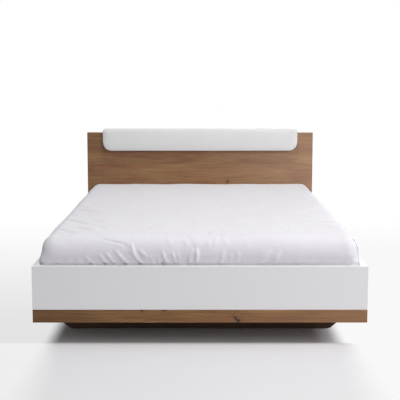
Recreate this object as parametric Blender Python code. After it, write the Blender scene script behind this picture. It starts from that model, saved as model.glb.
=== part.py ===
"""Platform bed for a 180 x 200 cm mattress, with an upholstered cushion on its headboard.

Metres, +Z up. X runs across the bed and Y from the foot end to the headboard.
The origin is on the floor, under the centre of the whole bed.
White boards stand on oak strips, and a skid that is set back carries the foot end.
"""

import math

import bmesh
import bpy
from mathutils import Matrix, Vector

# Mattress, its fitted sheet, and the bay of the frame that holds them
MATTRESS_WIDTH = 1.800
MATTRESS_LENGTH = 2.000
MATTRESS_HEIGHT = 0.220
MATTRESS_SINK = 0.064
MATTRESS_TOP_ROUND = 0.075
MATTRESS_LOW_ROUND = 0.030
MATTRESS_CORNER_ROUND = 0.075
MATTRESS_CROWN = 0.006
MATTRESS_CROWN_SHARES = (0.4, 0.85)
BAY_SIDE_GAP = 0.002
BAY_END_GAP = 0.0035
SHEET_THICKNESS = 0.0015
SHEET_EASE = 0.0005
SHEET_HEM_REACH = 0.120

# Folds that the sheet's foot side gathers into, with the place, lean and strength of each crest
FOLD_HEIGHT = 0.008
FOLD_RISE = 0.035
CREST_SHARES = (-0.66, -0.54, -0.43, -0.31, -0.21, -0.12, -0.03, 0.14, 0.41, 0.50)
CREST_LEAN_SHARES = (-0.80, -1.00, -1.10, -1.10, -0.50, -0.20, 0.00, 0.15, 0.45, 0.45)
CREST_STRENGTH_SHARES = (0.50, 0.70, 0.75, 1.00, 0.70, 0.60, 0.90, 0.50, 0.50, 0.40)

# Boards of the frame, and the tongues that join the oak strips to the white boards
RAIL_THICKNESS = 0.038
FOOTBOARD_THICKNESS = 0.038
HEADBOARD_THICKNESS = 0.038
HEADBOARD_TOP = 1.015
FRAME_TOP = 0.440
STRIP_CLEARANCE = 0.118
STRIP_HEIGHT = 0.074
BOARD_EDGE = 0.001
TONGUE_WIDTH = 0.010
TONGUE_HEIGHT = 0.012
TONGUE_END_MARGIN = 0.070
FIT_GAP = 0.0003
CUT_OVERRUN = 0.010

# Headboard cushion and its backing board
CUSHION_SIDE_MARGIN = 0.134
CUSHION_HEIGHT = 0.185
CUSHION_RISE = 0.035
CUSHION_THICKNESS = 0.055
CUSHION_CROWN = 0.010
CUSHION_CROWN_SHARES = (0.3, 0.6, 0.9)
CUSHION_EDGE_ROUND = 0.018
CUSHION_LOW_ROUND = 0.072
CUSHION_TOP_ROUND = 0.022
CUSHION_DRAW_IN = 0.0015
CUSHION_WRAP = 0.006
CUSHION_BOARD_THICKNESS = 0.012

# Skid under the foot end, and the glides on the floor
SKID_THICKNESS = 0.038
SKID_SETBACK = 0.227
SKID_TAPER = 0.129
SKID_TAPER_TOP = 0.115
SKID_GLIDE_WIDTH = 0.024
SKID_GLIDE_END_MARGIN = 0.015
GLIDE_HEIGHT = 0.004
GLIDE_RADIUS = 0.013
GLIDE_EDGE = 0.001
HEADBOARD_GLIDE_SHARE = 0.92

# Slat bases: slats, tapes and the ledges that carry their outer ends
SLAT_COUNT = 14
SLAT_WIDTH = 0.070
SLAT_THICKNESS = 0.010
SLAT_EDGE_ROUND = 0.0025
SLAT_CROWN = 0.012
SLAT_STRETCHES = 8
SLAT_OUTER_GAP = 0.006
SLAT_CENTRE_GAP = 0.003
SLAT_END_MARGIN = 0.020
TAPE_WIDTH = 0.025
TAPE_THICKNESS = 0.0012
TAPE_STRETCHES = {"inner": 1, "outer": 6}
LEDGE_WIDTH = 0.030
LEDGE_HEIGHT = 0.040
LEDGE_END_GAP = 0.060

# Centre beam, its saddles, and its leg
BEAM_WIDTH = 0.060
BEAM_HEIGHT = 0.040
BEAM_WALL = 0.002
SADDLE_WALL = 0.003
SADDLE_DEPTH = 0.035
SADDLE_EAR = 0.026
LEG_RADIUS = 0.016
LEG_PLACE_SHARE = 0.10
LEG_PLATE = 0.056
LEG_PLATE_THICKNESS = 0.003
LEG_GLIDE_RADIUS = 0.021
LEG_GLIDE_HEIGHT = 0.022
LEG_GLIDE_SOLE = 0.005
LEG_GLIDE_EDGE = 0.002

# Steel angles, and the bolts that stay in them
BRACKET_LEG = 0.048
BRACKET_THICKNESS = 0.003
BRACKET_BEND_RADIUS = 0.006
BRACKET_HEIGHT = 0.150
BRACKET_LOW = 0.145
SKID_BRACKET_HEIGHT = 0.080
SKID_BRACKET_LOW = 0.215
BOLT_RADIUS = 0.003
BOLT_HEAD_RADIUS = 0.007
BOLT_HEAD = 0.004
BOLT_BITE = 0.024
BOLT_END_MARGIN = 0.022
BOLT_OFFSET = 0.029

# How many straight pieces stand for a round one, and how far a corner's round may shrink
ROUND_STEPS = 16
BOLT_STEPS = 8
CUSHION_CORNER_STEPS = 6
CUSHION_SIDE_STEPS = 6
MATTRESS_CORNER_STEPS = 3
MATTRESS_SIDE_STEPS = 4
EDGE_STEPS = 3
LOW_EDGE_STEPS = 2
LEAST_ROUND_SHARE = 0.2
SMOOTH_UP_TO_DEGREES = 40

# Places that follow from the sizes above
BAY_LENGTH = MATTRESS_LENGTH + 2 * BAY_END_GAP
BED_LENGTH = FOOTBOARD_THICKNESS + BAY_LENGTH + HEADBOARD_THICKNESS
RAIL_INNER = MATTRESS_WIDTH / 2 + BAY_SIDE_GAP
HALF_WIDTH = RAIL_INNER + RAIL_THICKNESS
FOOT_FACE = -BED_LENGTH / 2
FOOT_INNER = FOOT_FACE + FOOTBOARD_THICKNESS
HEAD_BACK = BED_LENGTH / 2
HEAD_FRONT = HEAD_BACK - HEADBOARD_THICKNESS
BAY_MIDDLE = (FOOT_INNER + HEAD_FRONT) / 2
STRIP_TOP = STRIP_CLEARANCE + STRIP_HEIGHT
MATTRESS_LOW = FRAME_TOP - MATTRESS_SINK
SLAT_LOW = MATTRESS_LOW - FIT_GAP - SLAT_CROWN - SLAT_THICKNESS
LEDGE_TOP = SLAT_LOW - FIT_GAP
LEDGE_LOW = LEDGE_TOP - LEDGE_HEIGHT
BEAM_LOW = LEDGE_TOP - BEAM_HEIGHT
SKID_FRONT = FOOT_FACE + SKID_SETBACK
SKID_BACK = SKID_FRONT + SKID_THICKNESS
SKID_TOP = LEDGE_LOW - FIT_GAP
SKID_FOOT_HALF_WIDTH = RAIL_INNER - FIT_GAP - SKID_TAPER
CUSHION_HALF_WIDTH = HALF_WIDTH - CUSHION_SIDE_MARGIN
CUSHION_MIDDLE = HEADBOARD_TOP + CUSHION_RISE - CUSHION_HEIGHT / 2
SLAT_LENGTH = RAIL_INNER - SLAT_OUTER_GAP - SLAT_CENTRE_GAP
LEG_Y = LEG_PLACE_SHARE * BED_LENGTH / 2

SIDES = {"left": -1, "right": 1}
UP = (0, 0, 1)


def clear_scene():
    """Removes what the opened file holds, so that only the bed is left."""
    for old in list(bpy.data.objects):
        bpy.data.objects.remove(old, do_unlink=True)


def finish(name, colour, roughness, metallic=0.0):
    """A plain surface finish."""
    made = bpy.data.materials.new(name)
    made.use_nodes = True
    shader = made.node_tree.nodes["Principled BSDF"]
    shader.inputs["Base Color"].default_value = (*colour, 1.0)
    shader.inputs["Roughness"].default_value = roughness
    shader.inputs["Metallic"].default_value = metallic
    return made


def build_surfaces():
    """The finishes of the bed's pieces."""
    return {
        "white": finish("white_laminate", (0.80, 0.80, 0.81), 0.35),
        "oak": finish("oak_laminate", (0.26, 0.14, 0.08), 0.55),
        "leatherette": finish("white_leatherette", (0.82, 0.82, 0.81), 0.45),
        "cotton": finish("white_cotton", (0.86, 0.85, 0.88), 0.85),
        "ticking": finish("mattress_ticking", (0.80, 0.78, 0.74), 0.90),
        "plywood": finish("plywood", (0.55, 0.40, 0.24), 0.70),
        "pine": finish("pine", (0.62, 0.45, 0.27), 0.65),
        "birch": finish("birch_laminate", (0.66, 0.50, 0.32), 0.50),
        "webbing": finish("woven_tape", (0.78, 0.77, 0.73), 0.90),
        "zinc": finish("zinc_plated_steel", (0.62, 0.63, 0.65), 0.35, 1.0),
        "plastic": finish("black_plastic", (0.03, 0.03, 0.03), 0.50),
    }


def link(name, data, at=(0, 0, 0), parent=None):
    """Puts an object into the scene at a world place, under a parent empty if it has one."""
    made = bpy.data.objects.new(name, data)
    bpy.context.scene.collection.objects.link(made)
    made.location = Vector(at) - (parent.location if parent else Vector())
    made.parent = parent
    return made


def as_mesh(name, shape):
    """Turns a bmesh into a mesh with its faces pointing out."""
    bmesh.ops.recalc_face_normals(shape, faces=shape.faces)
    mesh = bpy.data.meshes.new(name)
    shape.to_mesh(mesh)
    shape.free()
    return mesh


def piece(name, shape, surface, parent, at=(0, 0, 0)):
    """A piece of the bed."""
    mesh = as_mesh(name, shape)
    mesh.materials.append(surface)
    return link(name, mesh, at, parent)


def round_piece(name, shape, surface, parent, at=(0, 0, 0)):
    """A piece with round stretches, which are shaded smooth between its sharp edges."""
    made = piece(name, shape, surface, parent, at)
    made.data.shade_smooth()
    made.data.set_sharp_from_angle(angle=math.radians(SMOOTH_UP_TO_DEGREES))
    return made


def helper(name, shape, at=(0, 0, 0)):
    """A hidden shape that a Boolean reads."""
    made = link(name, as_mesh(name, shape), at)
    made.hide_render = True
    made.display_type = "WIRE"
    return made


def combine(target, operation, other):
    """Cuts a helper out of a piece, or joins it to the piece."""
    modifier = target.modifiers.new(other.name, "BOOLEAN")
    modifier.operation = operation
    modifier.object = other
    return target


def soften(target, width):
    """Breaks the sharp edges of a piece."""
    bevel = target.modifiers.new("edge", "BEVEL")
    bevel.width = width
    bevel.segments = 1
    bevel.limit_method = "ANGLE"
    return target


def box(low, high):
    """A box between two corners."""
    low, high = Vector(low), Vector(high)
    shape = bmesh.new()
    bmesh.ops.create_cube(shape, size=1)
    bmesh.ops.scale(shape, vec=high - low, verts=shape.verts)
    bmesh.ops.translate(shape, vec=(low + high) / 2, verts=shape.verts)
    return shape


def prism(outline, axis, start, end):
    """Extrudes a closed outline along an axis. The outline is in the two other axes, in their order."""
    shape = bmesh.new()
    points = []
    for a, b in outline:
        point = [a, b]
        point.insert(axis, start)
        points.append(shape.verts.new(point))
    grown = bmesh.ops.extrude_face_region(shape, geom=[shape.faces.new(points)])
    moved = [part for part in grown["geom"] if isinstance(part, bmesh.types.BMVert)]
    step = Vector((0, 0, 0))
    step[axis] = end - start
    bmesh.ops.translate(shape, vec=step, verts=moved)
    return shape


def loft(loops):
    """A closed solid through loops of points that are in step with each other."""
    shape = bmesh.new()
    rings = [[shape.verts.new(point) for point in loop] for loop in loops]
    for near, far in zip(rings, rings[1:]):
        for k in range(len(near)):
            after = (k + 1) % len(near)
            shape.faces.new((near[k], near[after], far[after], far[k]))
    shape.faces.new(rings[0])
    shape.faces.new(rings[-1])
    return shape


def add_turned(shape, profile, at, direction, steps):
    """Adds a turned solid to a shape. Its profile is radius and height pairs, from axis to axis."""
    rings = []
    for radius, height in profile:
        if radius == 0:
            rings.append([shape.verts.new((0, 0, height))])
            continue
        angles = [2 * math.pi * k / steps for k in range(steps)]
        places = [(radius * math.cos(a), radius * math.sin(a), height) for a in angles]
        rings.append([shape.verts.new(place) for place in places])
    for upper, lower in zip(rings, rings[1:]):
        for k in range(steps):
            after = (k + 1) % steps
            corners = [upper[k % len(upper)], upper[after % len(upper)]]
            corners += [lower[after % len(lower)], lower[k % len(lower)]]
            shape.faces.new(list(dict.fromkeys(corners)))
    turn = Vector(UP).rotation_difference(Vector(direction)).to_matrix().to_4x4()
    points = [vertex for ring in rings for vertex in ring]
    bmesh.ops.transform(shape, matrix=Matrix.Translation(at) @ turn, verts=points)
    return shape


def rounded_outline(half_u, half_v, rounds, side_shares, steps):
    """A rectangle with round corners, from its low left corner on, with more points along its sides."""
    corners = ((-1, -1), (1, -1), (1, 1), (-1, 1))
    arcs = []
    for number, (sign_u, sign_v) in enumerate(corners):
        radius = rounds[number]
        centre_u = sign_u * (half_u - radius)
        centre_v = sign_v * (half_v - radius)
        angles = [math.pi * (1 + (number + k / steps) / 2) for k in range(steps + 1)]
        arcs.append([(centre_u + radius * math.cos(a), centre_v + radius * math.sin(a)) for a in angles])
    points = []
    for number, arc in enumerate(arcs):
        points += arc
        begin = arc[-1]
        end = arcs[(number + 1) % len(arcs)][0]
        for share in side_shares[number]:
            points.append(tuple(b + (e - b) * share for b, e in zip(begin, end)))
    return points


def even_shares(count):
    """Shares that divide a side into that many equal stretches."""
    return tuple(k / count for k in range(1, count))


def edge_profile(radius, steps):
    """Insets and rises from the side of a form to its flat face, round an edge."""
    angles = [math.pi / 2 * k / steps for k in range(steps + 1)]
    return [(radius * (1 - math.cos(a)), radius * math.sin(a)) for a in angles]


def crowned_profile(start, reach, crown, shares):
    """Insets and rises of a low crown, from the rounding's end towards the middle."""
    return [(start + (reach - start) * share, crown * (1 - (1 - share) ** 2)) for share in shares]


def drill(target, holes):
    """Cuts blind bolt holes into a board. Each is a place and the way that its mouth faces."""
    if not holes:
        return target
    radius = BOLT_RADIUS + FIT_GAP
    depth = BOLT_BITE + FIT_GAP
    profile = [(0, CUT_OVERRUN), (radius, CUT_OVERRUN), (radius, -depth), (0, -depth)]
    shape = bmesh.new()
    for at, direction in holes:
        add_turned(shape, profile, at, direction, BOLT_STEPS)
    return combine(target, "DIFFERENCE", helper(target.name + "_holes", shape))


def add_bolts(target, seats, wall):
    """Sets bolts into a steel piece, where they stay, and returns their holes in the boards behind."""
    tip = -wall - FIT_GAP - BOLT_BITE
    profile = [
        (0, BOLT_HEAD),
        (BOLT_HEAD_RADIUS, BOLT_HEAD),
        (BOLT_HEAD_RADIUS, -wall / 2),
        (BOLT_RADIUS, -wall / 2),
        (BOLT_RADIUS, tip),
        (0, tip),
    ]
    shape = bmesh.new()
    for at, direction in seats:
        add_turned(shape, profile, Vector(at), direction, BOLT_STEPS)
    combine(target, "UNION", helper(target.name + "_bolts", shape))
    return [(Vector(at) - Vector(direction) * (wall + FIT_GAP), direction) for at, direction in seats]


def board_on_strip(name, low, high, surfaces, frame):
    """A white board on an oak strip. A hidden tongue on the strip fits a stopped groove in the board."""
    board_low = (low[0], low[1], STRIP_TOP + FIT_GAP)
    strip_high = (high[0], high[1], STRIP_TOP)
    panel = piece(name[0], box(board_low, high), surfaces["white"], frame)
    strip = piece(name[1], box(low, strip_high), surfaces["oak"], frame)
    soften(panel, BOARD_EDGE)
    soften(strip, BOARD_EDGE)
    long_axis = 0 if high[0] - low[0] > high[1] - low[1] else 1
    half = Vector((TONGUE_WIDTH / 2, TONGUE_WIDTH / 2, 0))
    half[long_axis] = (high[long_axis] - low[long_axis]) / 2 - TONGUE_END_MARGIN
    middle = (Vector(low) + Vector(high)) / 2
    middle.z = STRIP_TOP
    ease = Vector((FIT_GAP, FIT_GAP, 0))
    lift = Vector((0, 0, TONGUE_HEIGHT))
    slot_lift = Vector((0, 0, TONGUE_HEIGHT + FIT_GAP))
    tongue = box(middle - half - lift, middle + half + lift)
    combine(strip, "UNION", helper(name[1] + "_tongue", tongue))
    groove = box(middle - half - ease - lift, middle + half + ease + slot_lift)
    combine(panel, "DIFFERENCE", helper(name[0] + "_groove", groove))
    return panel, strip


def build_boards(surfaces, frame):
    """The side rails, the footboard, their oak strips, and the headboard panel that reaches the floor."""
    boards = {}
    for side, sign in SIDES.items():
        xs = sorted((sign * RAIL_INNER, sign * HALF_WIDTH))
        low = (xs[0], FOOT_INNER + FIT_GAP, STRIP_CLEARANCE)
        high = (xs[1], HEAD_FRONT - FIT_GAP, FRAME_TOP)
        names = (f"side_rail_{side}", f"side_strip_{side}")
        boards["rail", side], boards["strip", side] = board_on_strip(names, low, high, surfaces, frame)
    low = (-HALF_WIDTH, FOOT_FACE, STRIP_CLEARANCE)
    high = (HALF_WIDTH, FOOT_INNER, FRAME_TOP)
    names = ("footboard_panel", "footboard_strip")
    boards["rail", "foot"], boards["strip", "foot"] = board_on_strip(names, low, high, surfaces, frame)
    low = (-HALF_WIDTH, HEAD_FRONT, GLIDE_HEIGHT + FIT_GAP)
    high = (HALF_WIDTH, HEAD_BACK, HEADBOARD_TOP)
    headboard = piece("headboard_panel", box(low, high), surfaces["oak"], frame)
    boards["head"] = soften(headboard, BOARD_EDGE)
    return boards


def cushion_outline(inset):
    """The cushion's outline in X and Z at an inset. Its long edges draw in a little between the corners."""
    half_u = CUSHION_HALF_WIDTH - inset
    half_v = CUSHION_HEIGHT / 2 - inset
    least = LEAST_ROUND_SHARE * CUSHION_TOP_ROUND
    low, high = max(CUSHION_LOW_ROUND - inset, least), max(CUSHION_TOP_ROUND - inset, least)
    long_side = even_shares(CUSHION_SIDE_STEPS)
    shares = (long_side, (), long_side, ())
    flat = CUSHION_HALF_WIDTH - CUSHION_LOW_ROUND
    points = []
    for u, v in rounded_outline(half_u, half_v, (low, low, high, high), shares, CUSHION_CORNER_STEPS):
        bow = CUSHION_DRAW_IN * max(0.0, 1 - (u / flat) ** 2)
        points.append((u, CUSHION_MIDDLE + v - math.copysign(bow, v)))
    return points


def build_cushion(surfaces, frame):
    """The upholstered pad on the headboard. It wraps round the edges of its backing board."""
    back = HEAD_FRONT - FIT_GAP
    side = CUSHION_THICKNESS - CUSHION_CROWN - CUSHION_EDGE_ROUND
    profile = [(0, 0)]
    profile += [(inset, side + rise) for inset, rise in edge_profile(CUSHION_EDGE_ROUND, EDGE_STEPS)]
    face = side + CUSHION_EDGE_ROUND
    crown = crowned_profile(CUSHION_EDGE_ROUND, CUSHION_HEIGHT / 2, CUSHION_CROWN, CUSHION_CROWN_SHARES)
    profile += [(inset, face + rise) for inset, rise in crown]
    loops = [[(x, back - depth, z) for x, z in cushion_outline(inset)] for inset, depth in profile]
    pad = round_piece("cushion_pad", loft(loops), surfaces["leatherette"], frame)
    board_face = back - CUSHION_BOARD_THICKNESS
    pocket = prism(cushion_outline(CUSHION_WRAP - FIT_GAP), 1, board_face - FIT_GAP, back + CUT_OVERRUN)
    combine(pad, "DIFFERENCE", helper("cushion_pocket", pocket))
    backing = prism(cushion_outline(CUSHION_WRAP), 1, board_face, back)
    piece("cushion_board", backing, surfaces["plywood"], frame)


def angle_outline(sign_x, sign_y):
    """An L-shaped outline in X and Y with a rounded bend, open towards the signs."""
    leg, wall, bend = BRACKET_LEG, BRACKET_THICKNESS, BRACKET_BEND_RADIUS
    points = [(leg, 0), (leg, wall), (bend, wall), (wall, bend), (wall, leg), (0, leg)]
    for k in range(EDGE_STEPS + 1):
        angle = math.pi * (1 + k / EDGE_STEPS / 2)
        points.append((bend + bend * math.cos(angle), bend + bend * math.sin(angle)))
    return [(sign_x * x, sign_y * y) for x, y in points]


def build_bracket(name, corner, signs, low, height, surfaces, frame):
    """A steel angle with its bolts. It returns two holes for the board beside it, then two across."""
    sign_x, sign_y = signs
    at = (corner[0] + sign_x * FIT_GAP, corner[1] + sign_y * FIT_GAP, 0)
    shape = prism(angle_outline(sign_x, sign_y), 2, low, low + height)
    made = round_piece(name, shape, surfaces["zinc"], frame, at)
    levels = (low + BOLT_END_MARGIN, low + height - BOLT_END_MARGIN)
    wall = BRACKET_THICKNESS
    beside = [((sign_x * wall, sign_y * BOLT_OFFSET, level), (sign_x, 0, 0)) for level in levels]
    across = [((sign_x * BOLT_OFFSET, sign_y * wall, level), (0, sign_y, 0)) for level in levels]
    seats = [(Vector(at) + Vector(place), direction) for place, direction in beside + across]
    return add_bolts(made, seats, wall)


def build_brackets(holes, surfaces, frame):
    """The angles in the four corners of the frame and behind the ends of the skid."""
    ends = {
        "foot": (FOOT_INNER, 1, ("strip", "foot"), ("rail", "foot")),
        "head": (HEAD_FRONT, -1, "head", "head"),
    }
    for side, sign in SIDES.items():
        rail, strip = ("rail", side), ("strip", side)
        for end, (face, inward, low_board, high_board) in ends.items():
            name = f"corner_bracket_{end}_{side}"
            corner, signs = (sign * RAIL_INNER, face), (-sign, inward)
            bored = build_bracket(name, corner, signs, BRACKET_LOW, BRACKET_HEIGHT, surfaces, frame)
            for board, hole in zip((strip, rail, low_board, high_board), bored):
                holes[board].append(hole)
        name = f"skid_bracket_{side}"
        corner, signs = (sign * RAIL_INNER, SKID_BACK), (-sign, 1)
        bored = build_bracket(name, corner, signs, SKID_BRACKET_LOW, SKID_BRACKET_HEIGHT, surfaces, frame)
        for board, hole in zip((rail, rail, "skid", "skid"), bored):
            holes[board].append(hole)


def build_skid(surfaces, frame):
    """The set-back board that carries the foot end. Its ends slope in towards the floor."""
    reach = RAIL_INNER - FIT_GAP
    low = GLIDE_HEIGHT + FIT_GAP
    right = [(SKID_FOOT_HALF_WIDTH, low), (reach, SKID_TAPER_TOP), (reach, SKID_TOP)]
    outline = right + [(-x, z) for x, z in reversed(right)]
    skid = piece("skid", prism(outline, 1, SKID_FRONT, SKID_BACK), surfaces["oak"], frame)
    return soften(skid, BOARD_EDGE)


def build_glides(surfaces, frame):
    """A plastic runner under the skid, and a round glide under each end of the headboard."""
    middle = (SKID_FRONT + SKID_BACK) / 2
    half_x, half_y = SKID_FOOT_HALF_WIDTH - SKID_GLIDE_END_MARGIN, SKID_GLIDE_WIDTH / 2
    low, high = (-half_x, middle - half_y, 0), (half_x, middle + half_y, GLIDE_HEIGHT)
    soften(piece("skid_glide", box(low, high), surfaces["plastic"], frame), GLIDE_EDGE)
    profile = [
        (0, GLIDE_HEIGHT),
        (GLIDE_RADIUS, GLIDE_HEIGHT),
        (GLIDE_RADIUS, GLIDE_EDGE),
        (GLIDE_RADIUS - GLIDE_EDGE, 0),
        (0, 0),
    ]
    for side, sign in SIDES.items():
        at = Vector((sign * HEADBOARD_GLIDE_SHARE * HALF_WIDTH, (HEAD_FRONT + HEAD_BACK) / 2, 0))
        shape = add_turned(bmesh.new(), profile, Vector(), UP, ROUND_STEPS)
        round_piece(f"headboard_glide_{side}", shape, surfaces["plastic"], frame, at)


def build_ledges(surfaces, frame):
    """The two battens on the side rails that carry the outer ends of the slats."""
    for side, sign in SIDES.items():
        outer = RAIL_INNER - FIT_GAP
        xs = sorted((sign * outer, sign * (outer - LEDGE_WIDTH)))
        low = (xs[0], FOOT_INNER + LEDGE_END_GAP, LEDGE_LOW)
        high = (xs[1], HEAD_FRONT - LEDGE_END_GAP, LEDGE_TOP)
        soften(piece(f"slat_ledge_{side}", box(low, high), surfaces["pine"], frame), BOARD_EDGE)


def build_beam(surfaces, frame):
    """The steel tube along the middle, which lies in a saddle at each end."""
    half_x, half_y = BEAM_WIDTH / 2, BAY_LENGTH / 2 - SADDLE_WALL - 2 * FIT_GAP
    low = Vector((-half_x, BAY_MIDDLE - half_y, BEAM_LOW))
    high = Vector((half_x, BAY_MIDDLE + half_y, LEDGE_TOP))
    beam = piece("centre_beam", box(low, high), surfaces["zinc"], frame)
    wall, overrun = Vector((BEAM_WALL, 0, BEAM_WALL)), Vector((0, CUT_OVERRUN, 0))
    combine(beam, "DIFFERENCE", helper("beam_bore", box(low + wall - overrun, high - wall + overrun)))


def build_saddle(end, face, inward, surfaces, frame):
    """A pressed cup on a plate with two ears, bolted to a board. It returns the holes for that board."""
    wall = SADDLE_WALL
    inner = BEAM_WIDTH / 2 + FIT_GAP
    outer = inner + wall
    floor = BEAM_LOW - FIT_GAP
    back = face + inward * FIT_GAP
    ear = outer + SADDLE_EAR
    plate_top = LEDGE_TOP - BEAM_WALL
    plate_outline = [(-ear, floor), (ear, floor), (ear, plate_top), (-ear, plate_top)]
    cup_outline = [(-outer, floor - wall), (outer, floor - wall), (outer, LEDGE_TOP), (-outer, LEDGE_TOP)]
    hollow_top = LEDGE_TOP + CUT_OVERRUN
    hollow_outline = [(-inner, floor), (inner, floor), (inner, hollow_top), (-inner, hollow_top)]
    cup = prism(cup_outline, 1, back, back + inward * SADDLE_DEPTH)
    saddle = piece(f"beam_saddle_{end}", cup, surfaces["zinc"], frame)
    plate = prism(plate_outline, 1, back, back + inward * wall)
    combine(saddle, "UNION", helper(f"saddle_plate_{end}", plate))
    hollow = prism(hollow_outline, 1, back + inward * wall, back + inward * (SADDLE_DEPTH + CUT_OVERRUN))
    combine(saddle, "DIFFERENCE", helper(f"saddle_hollow_{end}", hollow))
    level = (BEAM_LOW + LEDGE_TOP) / 2
    x = outer + SADDLE_EAR / 2
    seats = [((sign * x, back + inward * wall, level), (0, inward, 0)) for sign in SIDES.values()]
    return add_bolts(saddle, seats, wall)


def build_leg(surfaces, frame):
    """The centre leg: a round tube under a square plate, and the plastic glide that it stands in."""
    top = BEAM_LOW - FIT_GAP
    plate_low = top - LEG_PLATE_THICKNESS
    sole = LEG_GLIDE_SOLE + FIT_GAP
    at = Vector((0, LEG_Y, 0))
    tube_top = (plate_low + top) / 2
    profile = [(0, tube_top), (LEG_RADIUS, tube_top), (LEG_RADIUS, sole), (0, sole)]
    shape = add_turned(bmesh.new(), profile, Vector(), UP, ROUND_STEPS)
    leg = round_piece("centre_leg", shape, surfaces["zinc"], frame, at)
    half = LEG_PLATE / 2
    plate = box((-half, LEG_Y - half, plate_low), (half, LEG_Y + half, top))
    combine(leg, "UNION", helper("leg_plate", plate))
    socket = LEG_RADIUS + FIT_GAP
    glide_profile = [
        (0, LEG_GLIDE_SOLE),
        (socket, LEG_GLIDE_SOLE),
        (socket, LEG_GLIDE_HEIGHT),
        (LEG_GLIDE_RADIUS - LEG_GLIDE_EDGE, LEG_GLIDE_HEIGHT),
        (LEG_GLIDE_RADIUS, LEG_GLIDE_HEIGHT - LEG_GLIDE_EDGE),
        (LEG_GLIDE_RADIUS, LEG_GLIDE_EDGE),
        (LEG_GLIDE_RADIUS - LEG_GLIDE_EDGE, 0),
        (0, 0),
    ]
    shape = add_turned(bmesh.new(), glide_profile, Vector(), UP, ROUND_STEPS)
    round_piece("centre_leg_glide", shape, surfaces["plastic"], frame, at)


def slat_rise(share):
    """Height of the slat's arc at a share of its length."""
    return SLAT_CROWN * 4 * share * (1 - share)


def slat_shape(sign):
    """A bent slat with rounded long edges, from the bed's middle outwards. Its ends are at height zero."""
    rounds = (SLAT_EDGE_ROUND,) * 4
    section = rounded_outline(SLAT_WIDTH / 2, SLAT_THICKNESS / 2, rounds, ((),) * 4, 1)
    loops = []
    for k in range(SLAT_STRETCHES + 1):
        share = k / SLAT_STRETCHES
        middle = slat_rise(share) + SLAT_THICKNESS / 2
        loops.append([(sign * SLAT_LENGTH * share, y, middle + z) for y, z in section])
    return loft(loops)


def build_tape(name, sign, stretch, slats_length, surfaces, frame):
    """A woven tape along a slat base. It lies flat under one straight stretch of every slat."""
    begin, end = stretch / SLAT_STRETCHES, (stretch + 1) / SLAT_STRETCHES
    tilt = math.atan2(slat_rise(end) - slat_rise(begin), SLAT_LENGTH * (end - begin))
    middle = Vector((SLAT_LENGTH * (begin + end) / 2, 0, (slat_rise(begin) + slat_rise(end)) / 2))
    low = Vector((-TAPE_WIDTH / 2, -slats_length / 2, -TAPE_THICKNESS - FIT_GAP))
    high = Vector((TAPE_WIDTH / 2, slats_length / 2, -FIT_GAP))
    shape = box(low, high)
    turn = Matrix.Diagonal((sign, 1, 1, 1)) @ Matrix.Translation(middle) @ Matrix.Rotation(-tilt, 4, "Y")
    bmesh.ops.transform(shape, matrix=turn, verts=shape.verts)
    piece(name, shape, surfaces["webbing"], frame, (sign * SLAT_CENTRE_GAP, BAY_MIDDLE, SLAT_LOW))


def build_slats(surfaces, frame):
    """Two roll-out slat bases side by side, each with its slats on two tapes."""
    slats_length = BAY_LENGTH - 2 * SLAT_END_MARGIN
    pitch = (slats_length - SLAT_WIDTH) / (SLAT_COUNT - 1)
    first = FOOT_INNER + SLAT_END_MARGIN + SLAT_WIDTH / 2
    for side, sign in SIDES.items():
        mesh = as_mesh(f"slat_{side}", slat_shape(sign))
        mesh.materials.append(surfaces["birch"])
        for k in range(SLAT_COUNT):
            at = (sign * SLAT_CENTRE_GAP, first + k * pitch, SLAT_LOW)
            link(f"slat_{side}_{k + 1:02d}", mesh, at, frame)
        for place, stretch in TAPE_STRETCHES.items():
            build_tape(f"slat_tape_{side}_{place}", sign, stretch, slats_length, surfaces, frame)


def mattress_levels(clearance, side_levels):
    """Insets and heights from the underside of the mattress up to its crown, inside a clearance."""
    low = MATTRESS_LOW + clearance
    top = MATTRESS_LOW + MATTRESS_HEIGHT - MATTRESS_CROWN - clearance
    low_round, top_round = MATTRESS_LOW_ROUND, MATTRESS_TOP_ROUND
    under = reversed(edge_profile(low_round, LOW_EDGE_STEPS))
    levels = [(inset, low + low_round - rise) for inset, rise in under]
    levels += [(0, level) for level in side_levels]
    levels += [(inset, top - top_round + rise) for inset, rise in edge_profile(top_round, EDGE_STEPS)]
    crown = crowned_profile(top_round, MATTRESS_WIDTH / 2, MATTRESS_CROWN, MATTRESS_CROWN_SHARES)
    return levels + [(inset, top + rise) for inset, rise in crown]


def mattress_loop(inset, foot_shares):
    """The mattress's outline in X and Y at an inset."""
    half_u, half_v = MATTRESS_WIDTH / 2 - inset, MATTRESS_LENGTH / 2 - inset
    radius = max(MATTRESS_CORNER_ROUND - inset, LEAST_ROUND_SHARE * MATTRESS_CORNER_ROUND)
    plain = even_shares(MATTRESS_SIDE_STEPS)
    sides = (foot_shares, plain, plain, plain)
    loop = rounded_outline(half_u, half_v, (radius,) * 4, sides, MATTRESS_CORNER_STEPS)
    return [(x, BAY_MIDDLE + y) for x, y in loop]


def mattress_loops(clearance, foot_shares, side_levels):
    """Loops of the plain mattress form inside a clearance, from its underside up."""
    loops = []
    for inset, z in mattress_levels(clearance, side_levels):
        loops.append([(x, y, z) for x, y in mattress_loop(inset + clearance, foot_shares)])
    return loops


def outer_valley(crest, neighbour):
    """The valley outside the first or last crest, half as far from it as its neighbour is."""
    place, lean, _ = crest
    return place + (place - neighbour[0]) / 2, lean, 0


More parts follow.
